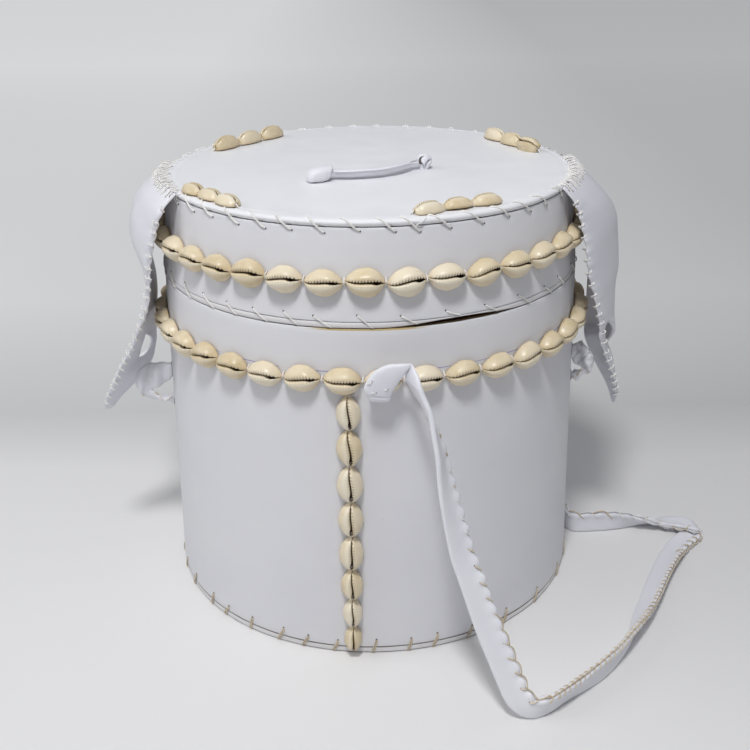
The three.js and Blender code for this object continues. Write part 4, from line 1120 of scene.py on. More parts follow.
TOP_GROUPS = [
    {"azimuth": -138.6, "radius": 115.6, "spacing": 16.6, "height": 5.2, "tips": (0, 0, 0)},
    {"azimuth": -65.7, "radius": 112.2, "spacing": 17.2, "height": 5.2, "tips": (0.1, -0.1, 0)},
    {"azimuth": 28.4, "radius": 107.0, "spacing": 19.2, "height": 7.4, "tips": (-0.75, 0, 0)},
    {"azimuth": 139.6, "radius": 105.0, "spacing": 20.6, "height": 7.8, "tips": (0, 0, 0)},
]
TOP_SHELL_WIDTH, TOP_SHELL_BLUNTNESS, TOP_SHELL_SLOT, TOP_SHELL_PROP = 10.8, 0.42, 0.4, 1.6


def top_groups():
    """The groups of three on the lid. A tipped shell is propped up and shows its whole slot."""
    rng = np.random.default_rng(9)
    ties = Clay()
    number = 1
    for group in TOP_GROUPS:
        along, level, _ = box_frame(group["azimuth"])
        middle = level * group["radius"] + UP * (LID_TOP_HEIGHT + GAP)
        for step, tip in zip((-1, 0, 1), group["tips"]):
            clay = Clay()
            size = (group["spacing"] + rng.uniform(-0.9, -0.2), TOP_SHELL_WIDTH, group["height"])
            shown = abs(tip) > 0.5
            place = middle + along * step * group["spacing"] + UP * TOP_SHELL_PROP * shown
            add_cowrie(clay, size, place, along, UP, 400 + number, roll=rng.uniform(-0.05, 0.05),
                       tip=tip, blunt=TOP_SHELL_BLUNTNESS, slot_size=1.0 if shown else TOP_SHELL_SLOT)
            make(f"lid_shell_{number}", clay, [cowrie_shell], "lid",
                 [f"lid_cowrie_{number}"])
            number += 1
        for step in (-1.5, -0.5, 0.5, 1.5):
            knot = middle + along * step * group["spacing"]
            if abs(step) < 1:
                thread(ties, [knot - along * 3.4 + UP * 2.4, knot + UP * 1.6,
                              knot + along * 3.4 + UP * 2.4], TIE, 1)
                cross = [
                    knot + level * sway + UP * rise
                    for sway, rise in ((-2.4, -0.2), (-1.2, 1.4), (0, 2.1), (1.2, 1.4), (2.4, -0.2))
                ]
                thread(ties, cross, FINE_TIE)
            else:
                inward = -along * np.sign(step)
                thread(ties, [knot + inward * 3.2 + UP * 2.2, knot + inward * 0.4 + UP * 1.5,
                              knot - inward * 1.6 - UP * 0.2], TIE)
    make("lid_shell_group_ties", ties, [white_thread, pink_thread], "lid")


front_row()
top_groups()

# %% [markdown]
# ## Base, lacing and stitches
# The base leather is a disc with its edge turned up against the wall. Tan thread laces the two
# together in pairs of strands.

# %% Base
BASE_THREAD, BASE_HOLE = 0.38, 0.6


def base_outline():
    """Outline of the disc, with its edge turned up and a floor of its own thickness."""
    edge = float(wall_radius(BASE_EDGE_HEIGHT))
    rows = [[edge - 2.2, 0.0], [edge - 1.2, 0.05], [edge - 0.5, 0.35], [edge - 0.12, 0.9], [edge, 1.6]]
    rows += [[edge, 2.4], [edge - 0.02, 3.2], [edge - 0.1, 3.8], [edge - 0.4, BASE_EDGE_HEIGHT]]
    rows += [[edge - 1.3, BASE_EDGE_HEIGHT], [edge - 1.35, 2.8], [edge - 1.5, 1.6]]
    rows += [[r, 1.6] for r in (110.0, 70.0, 30.0, 3.0)]
    rows += [[r, 0.0] for r in (3.0, 30.0, 70.0, 100.0, 124.0)]
    return rows


def base_unevenness(azimuths, heights):
    """How far the turned-up edge swells, less where it is laced. The underside stays flat."""
    spots = on_wall(azimuths, heights)
    rise = np.clip((heights - 0.5) / 1.5, 0, 1)
    lace = pressed(azimuths, heights, [(a - degrees_of(1), 3.6) for a in BASE_STITCHES], 0.35, 2.2)
    return (waves(spots, 24, 51) * 0.1 - 0.08 + lace) * rise


turned("base_leather", base_outline(), edge_leather, "container", ["base_cover"],
       base_unevenness)


def base_lacing():
    """Pairs of slanting strands, from under the edge to a hole in the wall."""
    clay = Clay()
    rng = np.random.default_rng(13)
    for azimuth in BASE_STITCHES:
        rise = BASE_HOLE_HEIGHT + rng.uniform(-1, 1)
        slant = degrees_of(rng.uniform(1.5, 3.5))
        for strand in (0, 1):
            off = degrees_of(strand * 1.15)
            path = [
                on_wall(azimuth - slant + off, 0.45, -0.1),
                on_wall(azimuth - slant + off, 1.6, 0.42),
                on_wall(azimuth - slant * 0.6 + off, 4.3, 0.4),
                on_wall(azimuth + off * 0.7, rise - 1.2, 0.42),
                on_wall(azimuth + off * 0.5, rise, -0.35),
            ]
            thread(clay, path, BASE_THREAD)
        out = wall_frame(azimuth, rise)[2]
        hole(clay, on_wall(azimuth + degrees_of(0.4), rise + 0.1), out, BASE_HOLE, 1)
    return clay


make("base_lacing", base_lacing(), [tan_thread, hole_shade], "container")


# %% [markdown]
# The rolled edge of the lid is bound down with one long white thread. On the outside it shows as
# slanting stitches from the top leather, over the roll, to a hole in the wall below it.

# %% Stitches of the lid
EDGE_THREAD, BACK_THREAD, RIM_THREAD, LID_HOLE = 0.5, 0.36, 0.42, 0.5


def edge_stitching():
    """Slanting stitches over the roll, and here and there a strand that goes back."""
    clay = Clay()
    rng = np.random.default_rng(17)
    top = LID_TOP_HEIGHT
    for azimuth in EDGE_STITCHES:
        start = azimuth - degrees_of(rng.uniform(11.5, 14.5))
        drop = EDGE_HOLE_HEIGHT + rng.uniform(-0.8, 0.8)
        wall = float(wall_radius(drop))
        profile = np.array([
            (120.0, top - 0.5), (120.4, top + 0.4), (121.3, top + 0.42), (122.5, top + 0.05),
            (123.7, top - 0.7), (124.2, top - 2.1), (124.05, top - 3.6), (wall + 0.55, drop + 1.0),
            (wall - 0.4, drop),
        ])
        shares = lengths(profile)
        turns = np.radians(start + (azimuth - start) * shares / shares[-1])
        thread(clay, round_box(profile[:, 0], turns, profile[:, 1]), EDGE_THREAD)
        if rng.random() < 0.2:
            start = azimuth - degrees_of(rng.uniform(1, 4))
            back = np.array([(0.0, 123.9, top - 3.3), (0.5, 124.2, top - 1.9), (1.0, 122.8, top)])
            turns = np.radians(start + degrees_of(5.5) * back[:, 0])
            first = on_wall(start - degrees_of(1.2), drop + 1.6, -0.2)
            thread(clay, [first, *round_box(back[:, 1], turns, back[:, 2])], BACK_THREAD)
        hole(clay, on_wall(azimuth, drop - 0.1), wall_frame(azimuth, drop)[2], LID_HOLE, 1)
    return clay


make("lid_edge_stitches", edge_stitching(), [white_thread, hole_shade], "lid")


# %% [markdown]
# A strip is bound under the lower rim of the lid. To the right of the front it is drawn up, and
# the brown collar shows through the gap.

# %% Lower rim of the lid
RIM_GAP_MIDDLE, RIM_GAP_HALF, RIM_GAP_HEIGHT = -68.0, 20.0, 2.6


def rim_lift(azimuths):
    """How far the strip is drawn up at an azimuth."""
    away = np.abs(degrees_from(RIM_GAP_MIDDLE, azimuths))
    return RIM_GAP_HEIGHT * np.cos(np.minimum(1, away / RIM_GAP_HALF) * np.pi / 2) ** 2


def rim_binding():
    """The strip under the rim: its outline is stretched between its foot and the lid's."""
    outer, inner = SEAM_RADIUS - 0.1, SEAM_RADIUS - LEATHER - BOARD - LINING - 2 * GAP
    foot, top = BODY_RIM_HEIGHT + 0.4, LID_FOOT_HEIGHT - GAP
    outline = np.array([
        (outer - 1.2, 0.0), (outer - 0.4, 0.15), (outer, 0.7), (outer + 0.05, 1.6), (outer, 2.6),
        (outer - 0.3, 3.2), (outer - 0.8, 3.3), (inner, 3.3), (inner, 0.0),
    ])
    radius, share = outline[None, :, 0], outline[None, :, 1] / outline[:, 1].max()
    lift = rim_lift(ALL_ROUND)
    height = (foot + lift) + share * (top - foot - lift)
    radius = radius + waves(on_wall(ALL_ROUND, height), 20, 61) * 0.12 * (radius > inner + 1)
    points = round_box(radius, np.radians(ALL_ROUND), height)
    return Clay().add(points, grid(ROUND, len(outline), True, True))


make("lid_rim_strip", rim_binding(), [edge_leather], "lid", ["lid_rim_binding"])


def rim_stitching():
    """Slanting stitches from a hole above the rim to the foot of the strip."""
    clay = Clay()
    rng = np.random.default_rng(19)
    for azimuth in RIM_STITCHES:
        start = RIM_HOLE_HEIGHT + rng.uniform(-0.8, 0.9)
        run = degrees_of(rng.uniform(7, 10))
        foot = BODY_RIM_HEIGHT + 0.5 + float(rim_lift(azimuth + run))
        path = [
            on_wall(azimuth, start, -0.4), on_wall(azimuth + run * 0.15, start - 0.7, 0.5),
            on_wall(azimuth + run * 0.55, (start + foot) / 2, 0.5),
            on_wall(azimuth + run * 0.95, foot + 0.8, 0.45), on_wall(azimuth + run, foot - 0.05, -0.5),
        ]
        thread(clay, path, RIM_THREAD)
        hole(clay, on_wall(azimuth, start + 0.1), wall_frame(azimuth, start)[2], LID_HOLE, 1)
    return clay


make("lid_rim_stitches", rim_stitching(), [white_thread, hole_shade], "lid")

# %% [markdown]
# ## Knots and folded ends
# The rest of the leather is folded: each end of the strap, the loops that the flaps button on to,
# and the handle. A folded band is a skin between two edges. One gives the two edges as curves
# and how thick the band is, and the section between them is a flattened oval.

# %% Bands between two edges
def folded_band(one_edge, other_edge, facing, thickness, around, firm, twist=None):
    """Rings of a band between two edges, so thick along its facing directions.

    The section has so many points, and the firmer it is, the squarer its corners are.
    """
    one_edge, other_edge = np.asarray(one_edge, float), np.asarray(other_edge, float)
    middle, half = (one_edge + other_edge) / 2, (other_edge - one_edge) / 2
    turns = circle(around)
    flat, deep = np.cos(turns), np.sin(turns)
    flat = np.sign(flat) * np.abs(flat) ** (2 / firm)
    deep = np.sign(deep) * np.abs(deep) ** (2 / firm)
    thick = np.broadcast_to(thickness, len(middle))[:, None, None] / 2
    side, out = half, unit(facing) * np.ones_like(middle)
    if twist is not None:
        length = np.linalg.norm(half, axis=1, keepdims=True)
        across = half / length
        turned_across = across * np.cos(twist)[:, None] + out * np.sin(twist)[:, None]
        out = out * np.cos(twist)[:, None] - across * np.sin(twist)[:, None]
        side = turned_across * length
    return middle[:, None] + side[:, None] * flat[:, None] + out[:, None] * deep[:, None] * thick


def crumpled(points, size, depth, seed):
    """The same points moved out and in, with creases where the waves would cross over."""
    push = np.stack([waves(points, size, seed + i) for i in range(3)], -1)
    sharp = np.stack([1 - 2 * np.abs(waves(points, size * 1.3, seed + 5 + i)) for i in range(3)], -1)
    return points + (push * 0.5 + np.clip(sharp, -1, 1) * 0.4) * depth


def leather_knot(clay, middle, axes, sizes, seed):
    """Adds a lump like a tight knot: a strap end turned round itself, with grooves between."""
    rows, columns = 22, 36
    rise = np.linspace(-np.pi / 2 * 0.96, np.pi / 2 * 0.96, rows)[:, None]
    turn = circle(columns)
    groove = 1 - 0.16 * np.exp(-((np.sin(turn + 1.7 * rise + seed) / 0.22) ** 2))
    groove = groove - 0.08 * np.exp(-((np.sin(1.5 * turn - 2.2 * rise) / 0.16) ** 2))
    height = np.sign(rise) * np.abs(np.sin(rise)) ** 0.9 * groove
    shape = round_box(np.cos(rise) ** 0.7 * groove, turn, height) * sizes
    points = crumpled(middle + shape @ axes, 7, 0.35, seed)
    clay.closed(points)


# %% [markdown]
# The strap comes up from its hanging length to a crease, folds over to the left and becomes a
# band that lies across the shells. Below them it turns in through a slit in the wall, and a knot
# inside holds it. The knot behind the box is the same one, turned by half a circle.

# %% The ends of the strap
KNOT_AZIMUTH, KNOT_SLIT_HEIGHT = -88.4, 166.7
# Both edges of the band, from the crease down and in through the wall: sideways, outward, up.
KNOT_LEFT_EDGE = [
    (15.9, 142.4, 192.9), (10.5, 142.7, 192.9), (4.5, 142.3, 192.5), (-2.6, 141.9, 188.8),
    (-6.4, 141.9, 184.0), (-8.3, 141.8, 179.6), (-7.6, 141.6, 176.6), (-6.0, 141.2, 174.0),
    (-5.5, 140.0, 172.2), (-5.5, 136.0, 170.8), (-5.5, 131.5, 169.3), (-5.5, 127.0, 167.4),
    (-5.5, 118.5, 166.7),
]
KNOT_RIGHT_EDGE = [
    (16.9, 142.0, 191.7), (14.3, 142.6, 189.0), (11.6, 142.4, 184.8), (9.3, 142.0, 181.0),
    (7.7, 141.8, 178.2), (6.5, 141.6, 175.6), (5.9, 141.4, 174.2), (5.7, 141.0, 173.0),
    (5.5, 139.8, 171.8), (5.5, 136.0, 170.6), (5.5, 131.5, 169.3), (5.5, 127.0, 167.4),
    (5.5, 118.5, 166.7),
]
KNOT_FACING = [
    (0, 1, 0), (0, 1, 0), (0, 1, 0), (0, 1, 0), (0, 1, 0), (0, 1, 0), (0, 0.97, -0.25), (0, 0.85, -0.5),
    (0, 0.7, -0.7), (0, 0.5, -0.87), (0, 0.1, -1), (0, 0, -1), (0, 0, -1),
]
KNOT_THICKNESS = [1.6, 3.4, 4.4, 4.8, 4.9, 4.7, 4.4, 4.0, 3.6, 3.2, 3.0, 3.0, 3.0]
KNOT_PARTS = 7


def on_box(azimuth, points):
    """Points given as sideways, outward, up, turned to an azimuth of the box."""
    return np.asarray(points, float) @ box_frame(azimuth)


def smooth_values(values, parts):
    """Numbers that run straight from one to the next, with so many samples in each span."""
    places = np.linspace(0, len(values) - 1, (len(values) - 1) * parts + 1)
    return np.interp(places, np.arange(len(values)), values)


# Where three short stitches show on the band: sideways, outward, up.
KNOT_STITCHES = [(-1.9, 144.2, 177.6), (4.2, 144.3, 179.2), (-4.0, 144.5, 184.0)]


def strap_end(name, azimuth, replaced, seed):
    """The folded end of the strap, from its crease to the knot inside the wall."""
    clay = Clay()
    rng = np.random.default_rng(seed)
    edges = [through(edge, KNOT_PARTS) for edge in (KNOT_LEFT_EDGE, KNOT_RIGHT_EDGE)]
    facing = unit(through(KNOT_FACING, KNOT_PARTS))
    rings = folded_band(*edges, facing, smooth_values(KNOT_THICKNESS, KNOT_PARTS), 40, 2.6)
    bottom = np.exp(-((rings[..., 2] - 174.3 + 0.1 * rings[..., 0]) / 0.6) ** 2)
    rings[..., 1] -= 0.55 * bottom * np.clip(rings[..., 1] - 142.4, 0, 1)
    rings += waves(rings, 17, seed)[..., None] * 0.22
    clay.closed(on_box(azimuth, rings))
    lump = on_box(azimuth, (0.0, 115.5, KNOT_SLIT_HEIGHT))
    leather_knot(clay, lump, box_frame(azimuth)[[0, 2, 1]], (8.5, 5.5, 3.6), seed)
    out = on_box(azimuth, (0, 1, 0))
    for place in KNOT_STITCHES:
        spot = on_box(azimuth, place)
        ahead = on_box(azimuth, (rng.uniform(-2.2, -1.4), -0.2, rng.uniform(-1.2, 0.4)))
        thread(clay, [spot - out * 0.9, spot + ahead * 0.3 + out * 0.2, spot + ahead + out * 0.1,
                      spot + ahead * 1.4 - out * 0.9], 0.3, 1)
        hole(clay, spot - out * 0.15, out, 0.34, 2)
    make(name, clay, [soft_leather, white_thread, hole_shade], "container", replaced)


strap_end("front_strap_end", KNOT_AZIMUTH, ["strap_front_knot"], 71)
strap_end("rear_strap_end", KNOT_AZIMUTH + 180, ["strap_rear_knot"], 72)

# %% [markdown]
# Two loops of folded leather stand out from the wall, one for each flap. A broad band leaves the
# wall, turns over at its end and goes back below as a narrow twisted tail. The one on the right
# is crumpled. Both pass through slits to a knot inside.

# %% The loops for the flaps
LOOPS = {
    "left": {"azimuth": -170.0, "top": 144.0, "reach": 24.5, "toward": 1,
             "crumple": 0.5, "twist": 2.2, "sag": 3.8, "seed": 81},
    "right": {"azimuth": -10.0, "top": 153.0, "reach": 14.0, "toward": -1,
              "crumple": 1.7, "twist": 3.4, "sag": 0, "seed": 84},
}
LOOP_BAND, LOOP_DEPTH, LOOP_TAIL, LOOP_THICKNESS, LOOP_STEM = 9.0, 25.2, 6.4, 4.4, 12.0
# Outer and inner edge of a loop, from the wall round to the wall: share of its reach, below its top.
LOOP_OUTER = [
    (0, 0.4), (0.34, -0.8), (0.66, -0.2), (0.88, 3.4), (0.98, 9), (0.97, 14), (0.84, 18.6),
    (0.6, 22.4), (0.3, 24.9), (0, LOOP_DEPTH),
]
LOOP_INNER = [
    (0, LOOP_BAND), (0.07, 11.4), (0.2, 14.0), (0.36, 15.3), (0.5, 15.7), (0.56, 16.6), (0.52, 17.4),
    (0.38, 18.1), (0.2, 18.6), (0, LOOP_DEPTH - LOOP_TAIL),
]


def loop_edge(edge, top, reach, sag):
    """Outward and height of one edge, with a stem into the wall at both ends."""
    rows = [(share * reach, top - down - sag * min(1, max(0, (down - 14) / 8))) for share, down in edge]
    return [(-LOOP_STEM, rows[0][1]), *rows, (-LOOP_STEM, rows[-1][1])]


SLIT_SIDES = 28


def shaded_slit_rim(clay, azimuth, height, width, tall, finish):
    """Adds a flat dark ring on the wall round an opening that a band goes through: painted shade of the
    opening.
    """
    turns = circle(SLIT_SIDES)
    rows = []
    for share, out in ((1.0, -0.3), (1.0, 0.22), (0.9, 0.3), (0.5, 0.28)):
        around = azimuth + degrees_of(np.cos(turns) * width / 2 * share)
        rows.append(on_wall(around, height + np.sin(turns) * tall / 2 * share, out))
    clay.closed(rows, finish)


# Creases of the crumpled loop: slope, and how far from the wall.
CREASES = [(0.9, 2.0), (-1.3, 5.5), (2.4, 8.5)]


def loop_for_flap(which, azimuth, top, reach, toward, crumple, twist, sag, seed):
    """One loop: the band, its knot inside, the stitches of its tail and the painted shade of its two
    slits.
    """
    clay = Clay()
    wall = float(wall_radius(top - LOOP_BAND / 2))
    outer, inner = [
        through([(0.0, wall + out, height) for out, height in loop_edge(edge, top, reach, sag)], 6)
        for edge in (LOOP_OUTER, LOOP_INNER)
    ]
    along = np.linspace(0, 1, len(outer))
    in_tail = np.clip((along - 0.60) / 0.12, 0, 1) * np.clip((0.90 - along) / 0.08, 0, 1)
    turning = in_tail * twist * np.clip((along - 0.6) / 0.3, 0, 1)
    thick = LOOP_THICKNESS * (1 - 0.3 * in_tail)
    rings = folded_band(outer, inner, (toward, 0, 0), thick, 34, 2.5, turning)
    out, height = rings[..., 1] - wall, rings[..., 2] - top
    facing = np.clip(rings[..., 0] * toward / 1.2, 0, 1)
    fold = ((out - reach + 8.5) * 0.93 + (height + 6) * 0.30) / 0.9
    bulge = np.exp(-(((out - reach * 0.36) / 4.5) ** 2)) * np.clip((height + 14) / 6, 0, 1)
    lift = 2.2 * np.clip(fold, 0, 1) * (along[:, None] < 0.66) + 0.9 * bulge
    lift -= 0.8 * np.exp(-(fold**2)) * (along[:, None] < 0.55)
    rings[..., 0] += toward * lift * facing
    wave = np.cos(out * 2 * np.pi / 10.5) * np.clip(out / 5, 0, 1)
    rings[..., 0] += toward * wave * (1 - in_tail)[:, None]
    if crumple > 1:
        for slope, shift in CREASES:
            line = (out - shift) - (height + 8) * slope * 0.35
            rings[..., 0] -= toward * 1.2 * np.exp(-((line / 0.7) ** 2)) * facing * (out > 1)
    free = np.clip(out / 5, 0, 1)[..., None]
    rings = rings + (crumpled(rings, 9, crumple, seed) - rings) * free
    clay.closed(on_box(azimuth, rings))
    foot = top - LOOP_DEPTH - sag
    lump = on_box(azimuth, (0.0, wall - 10.8, (top + foot) / 2))
    leather_knot(clay, lump, box_frame(azimuth)[[0, 2, 1]], (6.0, (top - foot) / 2 + 1, 3.4), seed)
    rng = np.random.default_rng(seed)
    for share in np.linspace(0.63, 0.86, 7):
        ring = rings[int(share * (len(outer) - 1))]
        spot = ring[int(np.argmax(ring[:, 0] * toward + ring[:, 2] * 0.5))]
        ahead = np.array([0, -rng.uniform(1.2, 2.2), rng.uniform(-1.2, 1.2)])
        clear = np.array([toward * 0.35, 0, 0.1])
        path = [spot - clear, spot + clear + ahead * 0.3, spot + clear + ahead * 0.7, spot + ahead - clear]
        thread(clay, on_box(azimuth, path), 0.32, 1)
    # Each slit is shown as a ring of painted shade.
    for middle, tall in ((top - LOOP_BAND / 2, LOOP_BAND), (foot + LOOP_TAIL / 2, LOOP_TAIL)):
        shaded_slit_rim(clay, azimuth, middle, LOOP_THICKNESS + 0.8, tall + 1.6, 2)
    make(which + "_loop", clay, [soft_leather, tan_thread, hole_shade], "container",
         [which + "_toggle"])


for which, loop in LOOPS.items():
    loop_for_flap(which, **loop)

# %% [markdown]
# ## The handle
# A strip of leather is rolled flat, and its free edge hangs over the front. At the left a wrap of
# leather holds it down, and at the right it ends in a curled knot. The strip swings on the line
# between its two ends, so it is a piece of its own.

# %% The rolled strip
HANDLE_LEFT, HANDLE_RIGHT = np.array([-22, -38, 267.8]), np.array([27.5, -15, 267.8])
HANDLE_LINE = unit(HANDLE_RIGHT - HANDLE_LEFT)
HANDLE_LENGTH = float(np.linalg.norm(HANDLE_RIGHT - HANDLE_LEFT))
HANDLE_FORWARD = np.array([HANDLE_LINE[1], -HANDLE_LINE[0], 0.0])
# The middle of the strip: share of the length, and distance forward.
HANDLE_BOW = [
    (-0.035, 0), (0.05, 0), (0.17, 3.4), (0.34, 6.4), (0.53, 7.2), (0.71, 6.0), (0.86, 2.8),
    (0.95, 0), (1.03, 0),
]
# Where the free edge lies along the strip: share of the length, and distance forward.
HANDLE_LIP = [(0, 2.6), (0.1, 3.4), (0.2, 4.3), (0.6, 4.4), (0.74, 3.6), (0.86, 1.6), (1, -0.6)]
HANDLE_SIZE, HANDLE_LOWEST = 0.86, 264.6


def handle_ring(lip):
    """Section of the rolled strip, with its free edge so far forward: forward, up."""
    rows = [
        (-3.75, 0.4), (-3.7, -0.7), (-3.3, -1.7), (-2.5, -2.4), (-1.5, -2.7), (-0.6, -2.75),
        (0.3, -2.6), (1.0, -2.1), (1.6, -1.4), (2.1, -0.6), (2.5, 0.2), (2.75, 0.9), (2.6, 1.5),
        (min(lip, 3.2) - 0.9, 1.6), (lip - 0.3, 1.6), (lip, 1.85), (lip, 2.2), (lip - 0.3, 2.5),
        (lip - 1.0, 2.7),
    ]
    return rows + [(a, 2.8 - 0.09 * min(0, a + 0.6) ** 2) for a in np.linspace(lip - 1.8, -3.5, 8)]


def handle_strip():
    """The strip along its bow, a little uneven and just clear of the lid."""
    bow = [
        HANDLE_LEFT + HANDLE_LINE * share * HANDLE_LENGTH + HANDLE_FORWARD * ahead
        for share, ahead in HANDLE_BOW
    ]
    route = through(bow, 9)
    lips = np.interp(np.linspace(0, 1, len(route)), *np.array(HANDLE_LIP).T)
    sections = np.array([handle_ring(lip) for lip in lips]) * HANDLE_SIZE
    before = np.cross(unit(np.gradient(route, axis=0)), UP)
    rings = route[:, None] + before[:, None] * sections[..., :1] + UP * sections[..., 1:]
    rings[..., 2] += 0.2 * HANDLE_SIZE * waves(rings, 15, 91)
    rings[..., 2] = np.maximum(rings[..., 2], HANDLE_LOWEST)
    return Clay().closed(rings)


make("handle_roll", handle_strip(), [soft_leather], "lid_handle", ["handle_strip"])

# %% The ends of the handle
LID_INSIDE_TOP = LID_TOP_HEIGHT - LEATHER - BOARD - LINING - 2 * GAP
STEM_FOOT = LID_INSIDE_TOP - GAP - 3.4
# Heights and radii of the stem through the lid.
HANDLE_STEM = [(LID_TOP_HEIGHT + 4, 2.4), (LID_TOP_HEIGHT, 2.9), (LID_INSIDE_TOP, 2.8), (STEM_FOOT, 2.4)]
STEM_SIDES = 16


def through_lid(clay, middle, seed):
    """Adds the stem of a handle end, through the lid, and the knot beneath it."""
    middle = middle * [1, 1, 0]
    turns = circle(STEM_SIDES)
    clay.closed([middle + round_box(radius, turns, z) for z, radius in HANDLE_STEM])
    axes = np.stack([HANDLE_LINE, HANDLE_FORWARD, UP])
    leather_knot(clay, middle + UP * STEM_FOOT, axes, (7.5, 6.0, 3.4), seed)


# The sleeve at the left end: along the line of the handle, half width, half height, middle.
SLEEVE = np.array([
    (-14.6, 2.2, 1.3, 266.5), (-14.0, 3.6, 2.3, 266.9), (-12.6, 4.7, 3.1, 267.6),
    (-10.6, 5.2, 3.6, 268.2), (-7.6, 5.5, 3.9, 268.5), (-4.4, 5.4, 3.95, 268.6),
    (-1.8, 5.0, 3.9, 268.6), (-0.7, 4.8, 3.75, 268.5), (-0.3, 4.5, 3.5, 268.4),
    (-0.7, 4.1, 3.15, 268.3), (-2.6, 3.9, 2.9, 268.2), (-3.4, 2.0, 1.6, 268.2),
])
SLEEVE_SIDES, SLEEVE_PARTS = 44, 4


def handle_wrap():
    """The sleeve of wrapped leather, with the step where its outer layer ends."""
    turns = circle(SLEEVE_SIDES)
    level, rise = np.cos(turns), np.sin(turns)
    rings = []
    for (at, half, tall), middle in zip(
        through(SLEEVE[:, :3], SLEEVE_PARTS), smooth_values(SLEEVE[:, 3], SLEEVE_PARTS)
    ):
        wrapped = (turns - np.pi * 0.62 + at * 0.11) % (2 * np.pi)
        step = 0.75 * np.clip(1 - wrapped / 2.2, 0, 1) * np.clip((at + 13) / 4, 0, 1)
        grow = 1 + step / 5
        ahead = half * np.sign(level) * np.abs(level) ** 0.7 * grow
        up = tall * np.sign(rise) * np.abs(rise) ** 0.7 * grow
        tip = (1.6 * rise - 1.8 * level) * np.clip((at + 7) / 6, 0, 1)
        place = np.stack([at + tip, ahead, middle - HANDLE_LEFT[2] + up], -1)
        rings.append(HANDLE_LEFT + place @ np.stack([HANDLE_LINE, HANDLE_FORWARD, UP]))
    rings = crumpled(np.array(rings), 12, 0.35, 95)
    rings[..., 2] = np.maximum(rings[..., 2], LID_TOP_HEIGHT + 0.2)
    clay = Clay().closed(rings)
    through_lid(clay, HANDLE_LEFT - HANDLE_LINE * 7.3, 96)
    return clay


# Where the curled end is open, as lines across its front: rightward and upward shares of its size.
CURL_OPENING = [(0.1, 0.85), (-0.35, 0.7), (-0.65, 0.4), (-0.78, 0.0), (-0.62, -0.5), (-0.3, -0.9)]
CURL_SLIT = [(0.82, 0.1), (0.55, -0.25), (0.2, -0.8)]


def handle_curl():
    """The curled knot at the right end: a tight ball with a curved opening and a slit, painted dark inside
    as shade.
    """
    middle = HANDLE_RIGHT + HANDLE_LINE * 6.2 + UP * 0.6
    rows, columns = 46, 64
    rise = np.linspace(-0.49, 0.49, rows)[:, None] * np.pi
    turn = circle(columns)
    way = round_box(np.cos(rise), turn, np.sin(rise))
    right, above, toward = (np.array(v) for v in (camera_right, camera_up, -forward))
    spots = np.stack([way @ right, way @ above], -1)
    depth = 0
    for line, wide in ((CURL_OPENING, 0.27), (CURL_SLIT, 0.14)):
        line = through([(*spot, 0) for spot in line], 8)[:, :2]
        away = np.linalg.norm(spots[..., None, :] - line, axis=-1).min(-1)
        depth = np.maximum(depth, np.exp(-(away / wide) ** 4) * (way @ toward > 0))
    shape = way * (1 - 0.42 * depth)[..., None] * 4.6
    points = crumpled(middle + shape, 7, 0.35, 97)
    points[..., 2] = np.maximum(points[..., 2], LID_TOP_HEIGHT + 0.6)
    clay = Clay().closed(points)
    # Faces deep in the opening and the slit take the dark finish: painted shade inside them.
    dark = depth.ravel() > 0.6
    clay.finishes = [int(dark[face].all()) for face in clay.faces]
    through_lid(clay, HANDLE_RIGHT + HANDLE_LINE * 6.3, 98)
    return clay


make("handle_left_sleeve", handle_wrap(), [soft_leather], "lid", ["handle_left_wrap"])
make("handle_right_curl", handle_curl(), [soft_leather, hole_shade], "lid", ["handle_right_knot"])

# %% [markdown]
# ## The flaps
# On each side hangs a tongue of doubled leather with a buttonhole, laced to the lid at its top.
# Three guide lines give its shape, front edge, belly and rear edge. Its front edge is whipped with
# thread, which draws the leather in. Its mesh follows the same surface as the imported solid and
# goes round the buttonhole.

# %% The surface of a flap
FLAP_ROWS = {
    "left": [
        [(108.5, -65, 263), (124.4, -26, 263.4), (126.4, 13, 263)],
        [(116.5, -67, 253.5), (135, -27, 254), (135.5, 15, 252)],
        [(122, -66, 240), (141.8, -28, 239), (142, 16, 236)],
        [(126, -64, 226), (141.8, -27, 225), (142, 14, 221)],
        [(128.9, -61.5, 210), (137, -27, 211), (140, 8, 207)],
        [(134.6, -57, 190), (136.4, -25, 192), (138.6, 4, 190)],
        [(142, -52, 173.5), (141.2, -24, 174), (139.6, 3, 174)],
        [(151, -46, 156.5), (148, -22, 156), (141.8, 1, 156)],
        [(161, -38.5, 138), (156.5, -20, 138), (145.5, -2, 139)],
        [(169.5, -31.5, 122), (165, -20, 122), (157, -9.5, 124)],
        [(173, -26, 112), (171, -22, 111.5), (168.6, -18, 112)],
    ],
    "right": [
        [(109, -64.5, 263), (124.4, -26, 263.4), (126.4, 13, 263)],
        [(116, -63.5, 253.5), (134, -27, 254.5), (134, 14, 253)],
        [(120, -62, 240), (146, -22, 241), (144, 15, 239)],
        [(123.8, -60, 224), (151.5, -18, 224), (147, 15, 221)],
        [(127.6, -57, 208), (153, -16, 206), (145.5, 14, 203)],
        [(133.8, -52, 190), (152.6, -14, 188), (142, 10, 186)],
        [(139.7, -47, 172), (153.3, -12, 170), (141, 6, 168)],
        [(145, -41.5, 154), (153.6, -12, 152), (141, 2, 150)],
        [(152.5, -34, 136), (153.6, -16, 135), (146, -3, 135)],
        [(157.6, -27.5, 120), (157.2, -20, 119), (154.8, -14, 120)],
        [(158.7, -23, 111), (158.4, -21, 110.5), (158, -19, 111)],
    ],
}
FLAP_PARTS = 16
FLAP_HALF_THICKNESS = 1.25
FLAP_STITCH = 7.4
SIDES = {"left": -1, "right": 1}


